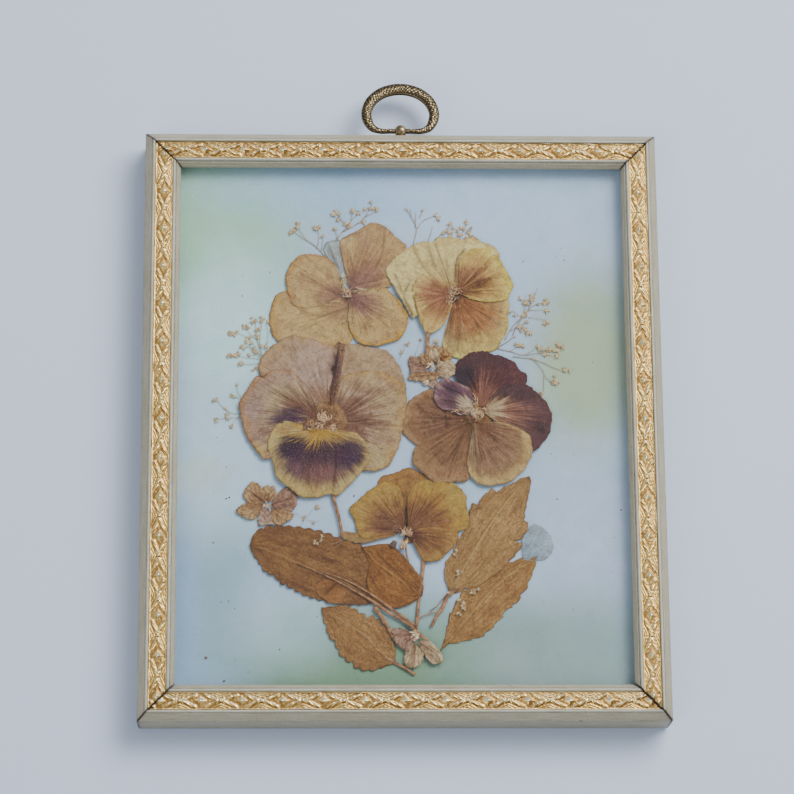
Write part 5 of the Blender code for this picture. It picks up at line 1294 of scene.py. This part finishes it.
floret("middle_floret_a", 2.0, [(9.4, 18.4), (7.2, 16.4), (3, 15.8), (1.9, 18.4), (2.4, 21.5), (7, 21.3),
       (8.4, 20.2)], FLORET_MAUVE, 211, [([(8.4, 19), (3.4, 19.2)], 0.12, 0.5)], "florets_middle")
floret("middle_floret_b", 2.6, [(9.8, 19), (8.2, 21.6), (8.4, 25), (11.4, 25.4), (13.4, 23.4), (12.8, 20.4)],
       FLORET_TAN, 212)
floret("middle_floret_c", 3.6, [(10.8, 17.4), (11.6, 20), (14, 20.4), (16.6, 19.6), (17.2, 17), (15.6, 14.4),
       (12.8, 14.4)], FLORET_CREAM, 213)
floret("middle_floret_d", 3.0, [(8.8, 16.6), (5.4, 15.8), (2.2, 15.4), (1.9, 13.8), (4.5, 13.3), (8, 13.2),
       (12.2, 14.6), (12.2, 16.2)], FLORET_TAN, 214, [([(3, 14.6), (11.6, 15.4)], 0.16, 0.35)])
floret("middle_floret_e", 1.4, [(9.4, 16), (8.2, 13.6), (8.6, 11.2), (10.9, 11.2), (11.4, 14)], FLORET_PINK, 215)
floret("middle_floret_g", 4.0, [(12, 19), (9.6, 20.4), (8.6, 22.6), (10.4, 24.4), (12.2, 22.6)], FLORET_CREAM, 217)
floret("middle_floret_h", 3.4, [(9, 17.8), (6.2, 18.8), (5.4, 21.8), (8, 22.8), (9.8, 20.4)], FLORET_TAN, 218)
floret("middle_floret_f", 4.4, [(12.2, 20.4), (11.4, 22.4), (12.4, 24.3), (14.6, 24.4), (16.2, 22.6), (15.8, 20.4),
       (14, 19.5)], petal_finish("floret_rust", 44, (196, 164, 122), (158, 112, 70), (96, 60, 38), veins=0.3, rays=8),
       216, [([(12.4, 21.6), (13.4, 23.4), (15, 22.8), (14.6, 21.2), (13.4, 21.4)], -0.2, 0.3)])
floret("bottom_floret_a", 4.4, [(2.6, -70.6), (-0.4, -68.6), (-4, -68.8), (-3.4, -72.4), (-1.5, -75), (1, -76),
       (2.6, -74)], FLORET_MAUVE, 221, node="florets_bottom")
floret("bottom_floret_b", 3.9, [(3.2, -73.6), (0.2, -76), (-0.4, -79), (1, -81.2), (3.6, -81), (5.6, -79),
       (5.8, -76)], FLORET_CREAM, 222, [([(3.2, -74.6), (2.6, -80)], 0.12, 0.4)])
floret("bottom_floret_c", 4.9, [(4, -72.8), (7.5, -72.5), (10, -74.5), (12, -78), (11.6, -79.6), (9, -80.1),
       (7, -78.5), (5.4, -75.6)], FLORET_CREAM,
       223, [([(4.8, -73.6), (9.2, -76.4), (11, -79)], 0.16, 0.4), ([(6, -75.8), (8.6, -79)], -0.10, 0.4)])

# ---------------------------------------------------------------- flower middles

lay_middle("tan_pansy_stamens", "pansy_1_centre", STAMEN, tangle(-18.2, 43.2, 1.6, 1.4, 4, 5.4, 26, 301),
           tangle(-19.2, 47.6, 0.5, 2.0, 2.6, 3.4, 8, 302, tilt=84),
           tangle(-14.2, 44.3, 2.0, 0.4, 4, 4.6, 7, 303, tilt=14))
lay_middle("cream_pansy_stamens", "pansy_2_centre", STAMEN, tangle(16.8, 43.4, 1.2, 2.2, 5.4, 6.6, 24, 304),
           tangle(15.8, 40.2, 0.8, 1.4, 5.6, 6.4, 9, 305, tilt=50))
lay_middle("cream_pansy_knot", None, STAMEN_DARK,
           tangle(19.0, 43.6, 0.8, 1.2, 5.2, 6.2, 16, 306, (0.25, 0.5), (0.8, 1.8)))
lay_middle("mauve_pansy_stamens", "pansy_3_centre", STAMEN,
           tangle(-26.0, 0.8, 1.9, 1.3, 6.0, 7.2, 30, 307, (0.2, 0.5), (1.5, 4.0)),
           tangle(-27.6, -2.2, 2.4, 1.0, 6.0, 6.8, 14, 308, tilt=95),
           tangle(-22.8, -2.8, 1.6, 1.2, 6.0, 6.8, 12, 309, (0.3, 0.8), (1.2, 2.2)))
lay_middle("mauve_pansy_knot", None, STAMEN_DARK,
           tangle(-31.4, -2.2, 0.9, 1.2, 5.8, 6.4, 9, 310, (0.3, 0.6), (1.2, 2.2)),
           tangle(-25.4, -1.2, 2.4, 1.0, 5.8, 6.6, 14, 311))
lay_middle("purple_pansy_stamens", "pansy_4_centre", STAMEN,
           tangle(24.2, 2.2, 1.9, 1.5, 6.2, 7.4, 30, 312, (0.2, 0.55), (1.5, 4.0)),
           tangle(19.6, 3.0, 3.4, 0.5, 5.4, 6.2, 13, 313, tilt=-8),
           tangle(23.4, 6.2, 0.8, 2.4, 5.4, 6.2, 9, 314, tilt=110),
           tangle(27.4, 3.6, 1.8, 1.2, 4.6, 5.4, 10, 324, tilt=20))
lay_middle("purple_pansy_knot", None, STAMEN_DARK,
           tangle(22.4, 0.4, 2.2, 0.8, 5.8, 6.6, 18, 315, (0.2, 0.5), (0.9, 2.2)))
lay_middle("gold_pansy_stamens", "pansy_5_centre", STAMEN,
           tangle(0.6, -37.2, 1.7, 1.3, 5.6, 6.6, 28, 316, (0.2, 0.45), (1.2, 3.0)),
           tangle(-0.2, -41.6, 0.6, 1.6, 4.8, 5.4, 6, 317, (0.4, 0.8), tilt=88))
lay_middle("gold_pansy_knot", None, STAMEN_DARK, tangle(-1.6, -36.0, 1.4, 1.0, 5.4, 6.0, 10, 318))
THROATS = [(-3.4, -41.2, 1.25, 4.6), (-31, -2.2, 1.15, 6), (-22.4, -2.6, 1.2, 5.9), (-2.6, -36.6, 0.9, 4.6),
           (18, 41.4, 0.8, 5)]
throats = [pod(on_card(x, y, layer_height(layer)), (wide, wide * 0.85, 0.16), 319 + i, 14, 6)
           for i, (x, y, wide, layer) in enumerate(THROATS)]
lay_middle("dark_throats", None, HOLLOW, *throats)
make_piece("floret_knots", join([tangle(3.2, -71.0, 1.2, 1.6, 5.2, 6.2, 14, 320, (0.5, 1.0), (1.0, 2.2)),
           tangle(9.0, 18.2, 1.0, 1.6, 4.6, 5.4, 9, 321, (0.3, 0.7), (1.0, 2.6)),
           tangle(-43.6, -28.4, 1.3, 0.9, 3.6, 4.4, 9, 322, (0.3, 0.6), (0.8, 2.0)),
           tangle(7.2, 12.8, 0.5, 0.5, 2, 2.6, 4, 323, (0.8, 1.2), (1.0, 1.4))]), [BUD_WHITE], "frame")

# ---------------------------------------------------------------- sprays of fine twigs and buds


def spray(name, node, twigs, buds, seed, layer=0.0, size=1.5, width=0.34):
    """Fine twigs, and a bud at each given place."""
    rng = np.random.default_rng(seed)
    parts = []
    for i, line in enumerate(twigs):
        wide = width * (0.85 if len(line) > 3 else 0.65)
        parts.append(thread(line, wide, layer + 0.25 * (i % 3)))
    wood = sum(len(part[1]) for part in parts), sum(len(part[2]) for part in parts)
    for i, (x, y) in enumerate(buds):
        for more in range(1 + (rng.random() < 0.55)):
            near = rng.normal(0, 0.75, 2) * more
            parts.append(bud(x + near[0], y + near[1], size * rng.uniform(0.9, 1.5), layer + 0.3 * (i % 3),
                             seed * 100 + i + 50 * more))
    whole = join(parts)
    quads, tris = len(whole[1]), len(whole[2])
    which = np.concatenate([np.arange(quads) >= wood[0], np.arange(tris) >= wood[1]]).astype(int)
    make_piece(name, whole, [TWIG, BUD], "frame", [node] if node else (), which=which)


spray("top_left_spray", "spray_top_left",
      [[(-24, 54), (-26.5, 57.6), (-29.5, 60.4), (-33, 62.6), (-35.4, 64.6)],
       [(-28, 58.6), (-27.2, 62), (-27.6, 65.6)], [(-31, 61.2), (-34.5, 66.4)],
       [(-24.6, 55), (-22.6, 60), (-19.5, 64.5), (-16.5, 68.5), (-14.4, 71)],
       [(-19.5, 64.5), (-14.5, 67.4), (-11.5, 70.4), (-9.6, 74.4)], [(-21, 62), (-21.8, 65)],
       [(-18, 66.4), (-20.4, 69.4), (-21.4, 71.2)], [(-16.5, 68.5), (-16.2, 71.6)], [(-12.6, 69.4), (-8.2, 71.8)],
       [(-26.4, 57.6), (-25.8, 62.6)], [(-19.4, 60), (-21.5, 62.4)], [(-14.5, 67.4), (-12.6, 68.2)]],
      [(-35.5, 65), (-36.4, 64.2), (-34.4, 66), (-27.5, 66), (-26, 63), (-28.2, 65.2), (-21.5, 71.5), (-20.4, 70.6),
       (-22.4, 70.4), (-22, 65.5), (-18.5, 67.2), (-16, 72), (-12, 72.5), (-14, 71), (-10, 75), (-9.3, 72.4),
       (-8, 72), (-10.4, 72.6), (-12.5, 68)], 51, 0.0, 1.5)
spray("top_middle_spray", "spray_top_middle",
      [[(3.6, 59), (4.2, 62), (5, 65.6), (3.4, 69.6), (2, 72)], [(5, 65.5), (7.2, 68.5), (11, 70.2)],
       [(4.6, 66.4), (4.8, 71.6)], [(8.4, 60), (9.6, 64), (10.2, 66.6)], [(3.2, 70), (3, 72.6)], [(6, 69.6), (7, 72)],
       [(11, 62), (15, 65.4)], [(19, 62), (21.4, 67.2)], [(24, 62.6), (22.4, 64.6)]],
      [(1.8, 72.5), (7, 72), (11.3, 70.5), (15, 65.3), (16, 63), (17, 66), (21.5, 67.6), (22, 64.6), (24.3, 61.5),
       (20.4, 65.8), (18.6, 64.8), (23, 66), (13.6, 64.2), (16.4, 64.6), (22.8, 63.4), (19.4, 63.6)], 52, 0.0, 1.35)
spray("left_spray", "spray_left",
      [[(-44, 19.4), (-45.8, 22.5), (-47, 26), (-47.6, 30), (-48, 33.4)], [(-45.5, 20.5), (-48.6, 23.4), (-51, 26.2)],
       [(-46, 22), (-50, 27.6), (-54.2, 29.8)], [(-46.6, 25), (-46.2, 30), (-45.6, 34.6)], [(-47.2, 27), (-51.2, 31)],
       [(-44.8, 22), (-43.8, 28), (-44.2, 33)], [(-45.4, 20.6), (-50.4, 21.2), (-55, 22)],
       [(-45, 19.8), (-48.4, 19), (-52.6, 18.8)], [(-45.6, 21.4), (-49.2, 24.6), (-52.4, 24.8)],
       [(-46.2, 23.4), (-44.8, 25)], [(-50.6, 6), (-53.4, 9.2), (-53.6, 11.8)], [(-51.6, 7), (-55.4, 8.2)],
       [(-52.4, 2), (-56.4, 2.8), (-60.4, 6.8)], [(-56.4, 2.8), (-57.6, 4)], [(-52.6, 1), (-56.4, 0.8), (-60.4, 0.4)],
       [(-53, 1.6), (-55.6, -1.6)]],
      [(-55, 29), (-54, 30), (-56.2, 29.4), (-51.5, 31.2), (-50.4, 31.4), (-48, 33.7), (-49, 33), (-46.2, 35),
       (-45.6, 34.2), (-43.8, 33.5), (-50.8, 26.5), (-49.5, 28), (-52.5, 24.8), (-55.3, 22), (-56.2, 22),
       (-54.2, 21.9), (-50, 22), (-52.8, 18.8), (-48.5, 17), (-44.5, 25), (-46.5, 31), (-47, 28), (-46, 25),
       (-48.5, 24), (-50.6, 27.4), (-47.6, 30.4), (-53.7, 12), (-55.5, 8.3), (-54.6, 7.8), (-60.5, 7), (-57.5, 4),
       (-60.5, 0.5), (-56.5, 0.5), (-55.5, -2)], 53, 0.0, 1.35, 0.28)
spray("right_spray", "spray_right",
      [[(33.5, 27.5), (36, 32), (39.8, 36), (42.5, 40), (44.5, 45.4)],
       [(36, 29), (38.6, 34), (43, 39.3), (46.5, 40.2)], [(37, 33), (40, 35.2), (47, 34.4)],
       [(35, 30.4), (38.6, 32.2), (41, 31)], [(38.4, 35.6), (36.4, 37.6)], [(40.4, 37.6), (39.2, 41.4)],
       [(41.6, 39), (42.6, 42.6)], [(41, 37.6), (47.2, 37.8)], [(37, 31.6), (40.8, 33.6)],
       [(30.4, 24.6), (35, 23.6), (39.5, 22.3), (44, 23), (46.6, 22.4)],
       [(36, 21.8), (42.5, 21), (47, 19.2), (50, 17.7), (53, 17)], [(43, 20.6), (45.5, 17.5), (46.5, 15), (48.6, 13)],
       [(46, 15.4), (45.8, 9.8)], [(40, 22.4), (44.2, 25)], [(44, 23), (47, 24.2)], [(45, 23), (49.4, 24)],
       [(46, 22.4), (51.8, 25)], [(46.4, 22.6), (50.2, 22)], [(35, 23.6), (37.8, 25.4)]],
      [(47.5, 40.3), (46.6, 40), (47.5, 37.5), (46.5, 33.3), (47.6, 33.5), (42.7, 42.8), (43, 41.9), (39, 41.5),
       (40.7, 40.8), (40.5, 36.8), (40.6, 33.6), (38.5, 32), (40.5, 31.2), (41, 29.7), (35.5, 37), (39.4, 31.4),
       (40.2, 40.2), (37.8, 25.5), (38.8, 25.6), (44.3, 25.2), (45, 24.8), (47.2, 24.2), (49.5, 24), (51.9, 25.3),
       (52.4, 24.8), (51.2, 25.6), (50.3, 22), (46.8, 22.5), (52.8, 17.5), (53, 16.9), (49.5, 13.5), (48.8, 13),
       (50.2, 13.1), (45.3, 9.3), (42.5, 21.2)], 54, 0.0, 1.4, 0.3)
spray("brown_twig", None, [[(30.4, 24.4), (33.2, 26.2), (36.6, 28.6)]], [(36.7, 28.7)], 55, 0.2, 0.8, 0.55)
spray("leaf_buds", None,
      [[(-24, -41.5), (-21.5, -40.6), (-19, -39.6)], [(-29, -40.4), (-26.4, -39)], [(-22.6, -42.6), (-19.6, -40.4)],
       [(17, -46), (16.4, -44)], [(17.4, -58), (18.4, -61.6), (17.2, -64)], [(14, -57), (18, -50.4)],
       [(18.4, -56.4), (24, -55.6)]],
      [(-26.3, -38.6), (-27.7, -41), (-26.6, -40), (-28.6, -40.2), (16, -44.5), (16.6, -43.8), (17, -50),
       (18.2, -50.2), (17.4, -51), (21.3, -57), (22.2, -56.4), (23.5, -56), (18.8, -60.2), (18.2, -61.3),
       (18.8, -62.2), (17.2, -63.6), (17.8, -64.2), (14, -57), (15.2, -57.6)], 56, 3.4, 1.0, 0.3)
spray("faint_spray", None,
      [[(-1, 21), (0.6, 24), (1.2, 26)], [(4, 22), (5.4, 25.6), (6, 27.4)], [(9, 23), (11.4, 26.4)],
       [(-34, -36), (-31.4, -32.4), (-28.4, -28.6)], [(-32, -33), (-33.6, -31.4), (-35, -30.6)],
       [(-31, -33), (-27.2, -33.6)]],
      [(1, 26), (1.8, 25.8), (-0.5, 23), (6, 27.5), (11.5, 26.5), (10.6, 27), (-28, -28.5), (-27.4, -28.9),
       (-32, -32), (-29, -34)], 57, 0.0, 1.0, 0.2)
petal("ghost_petal", 0.2, [(38, -46), (37.6, -40), (41, -34.6), (44.6, -35.4), (47.2, -38.6), (47.8, -42.6),
      (45.4, -45.8), (42, -46.4)],
      petal_finish("ghost", 58, (163, 179, 192), (156, 174, 188), (152, 166, 174), veins=0.12, blotchy=0.2,
                   dots=0.05), None, 230, rows=12, cols=40)

# ---------------------------------------------------------------- dust under the glass


def make_specks():
    """Crumbs of dried plant: low lumps scattered on the card where they fell, and on some petals."""
    rng = np.random.default_rng(77)
    fallen = [(-63, -77.8, 0.85), (-57.2, -85.3, 0.6), (-39.7, -75.2, 0.45), (-56, -59.5, 0.4), (-58.4, -59.8, 0.4),
              (-57, -26, 0.5), (-56, -25.6, 0.5), (-57, -15.5, 0.35), (-43.3, 50.5, 0.4), (-52.3, 42.3, 0.4),
              (40, 54.5, 0.4), (53.5, 55, 0.4), (49.5, -26, 0.45), (70, -29.5, 0.5), (62, 20, 0.35), (-16, -25, 0.5),
              (48, -11, 0.35), (-61, -40.5, 0.45), (-54, -62, 0.35), (-49.6, -82.4, 0.35), (67.6, -38.6, 0.3),
              (-5.6, 35, 0.2)]
    on_petals = [(-34.9, 42.3, 0.45, 3), (-8, 44, 0.45, 4), (-19.5, 32.8, 0.5, 2), (-18.2, 33.2, 0.55, 4),
                 (-10.5, 31.7, 0.4, 4), (-15.8, 31.8, 0.35, 4), (-12.6, 38.4, 0.3, 4), (14.6, 57.4, 0.3, 4),
                 (44.4, -2.2, 0.5, 4), (-6.9, -9.6, 0.4, 4), (-3, -6.8, 0.4, 4), (0.8, 59, 0.3, 3),
                 (-19.6, 23.4, 0.7, 4.4), (-20.6, 25, 0.6, 4.4)]
    parts = []
    for i, (x, y, size) in enumerate(fallen):
        low = on_card(x, y, CARD_TOP + size * 0.15)
        parts.append(pod(low, (size * 0.62, size * 0.5, size * 0.2), 400 + i, 8, 4, 0.25))
    for i, (x, y, size, layer) in enumerate(on_petals):
        high = on_card(x, y, layer_height(layer) + 0.2)
        parts.append(pod(high, (size * 0.6, size * 0.42, size * 0.22), 500 + i, 8, 4, 0.3))
    for i in range(60):
        x, y = rng.uniform(-70, 70), rng.uniform(-84, 84)
        size = rng.uniform(0.10, 0.22)
        parts.append(pod((x, y, CARD_TOP + 0.03), (size, size * 0.7, 0.05), 600 + i, 6, 3, 0.3))
    make_piece("plant_crumbs", join(parts), [fibre_finish("crumb", (104, 78, 60), (62, 44, 34))], "frame")


make_specks()

# ---------------------------------------------------------------- floor, light and camera

floor_mesh = bpy.data.meshes.new("floor")
floor_mesh.from_pydata([(-2.5, -2.5, 0), (2.5, -2.5, 0), (2.5, 2.5, 0), (-2.5, 2.5, 0)], [], [(0, 1, 2, 3)])
floor = bpy.data.objects.new("floor", floor_mesh)
bpy.context.scene.collection.objects.link(floor)
floor.location.z = -0.0004  # just under the paper, so that the two faces never meet
pale = Finish("pale_floor", 0.9)
pale.shader.inputs["Base Color"].default_value = (0.66, 0.76, 0.95, 1)
floor_mesh.materials.append(pale.material)


def panel(name, place, aim, size, power, colour, turn=0.0):
    """A soft rectangular studio light."""
    lamp = bpy.data.lights.new(name, "AREA")
    lamp.shape, lamp.size, lamp.size_y = "RECTANGLE", size[0], size[1]
    lamp.energy, lamp.color = power, colour
    holder = bpy.data.objects.new(name, lamp)
    bpy.context.scene.collection.objects.link(holder)
    holder.location = place
    holder.rotation_euler = (Vector(aim) - Vector(place)).to_track_quat("-Z", "Y").to_euler()
    holder.rotation_euler.z += math.radians(turn)


panel("key_panel", (0.74, 0.68, 1.22), (0, 0, 0), (1.15, 0.85), 29.6, (1.0, 0.985, 0.96))
panel("fill_panel", (-0.9, -0.9, 1.2), (0, 0, 0), (1.2, 1.2), 7.0, (0.92, 0.96, 1.0))
panel("faint_panel", (0.005, 0.907, 1.4), (0.005, 0.907, 0), (1.2, 0.8), 0.5, (0.92, 0.96, 1.0), 26.8)
world = bpy.data.worlds.new("studio")
bpy.context.scene.world = world
world.use_nodes = True
world.node_tree.nodes["Background"].inputs["Color"].default_value = (0.90, 0.94, 1.0, 1)
world.node_tree.nodes["Background"].inputs["Strength"].default_value = 0.4

view = bpy.data.cameras.new("camera")
view.lens, view.sensor_width = 139.375, 36.0
view.clip_start = 0.05
camera = bpy.data.objects.new("camera", view)
bpy.context.scene.collection.objects.link(camera)
camera.location = (-0.037547, -0.263173, 0.968224)
camera.rotation_euler = [math.radians(a) for a in (15.845834, -2.016523, -0.414503)]
bpy.context.scene.camera = camera
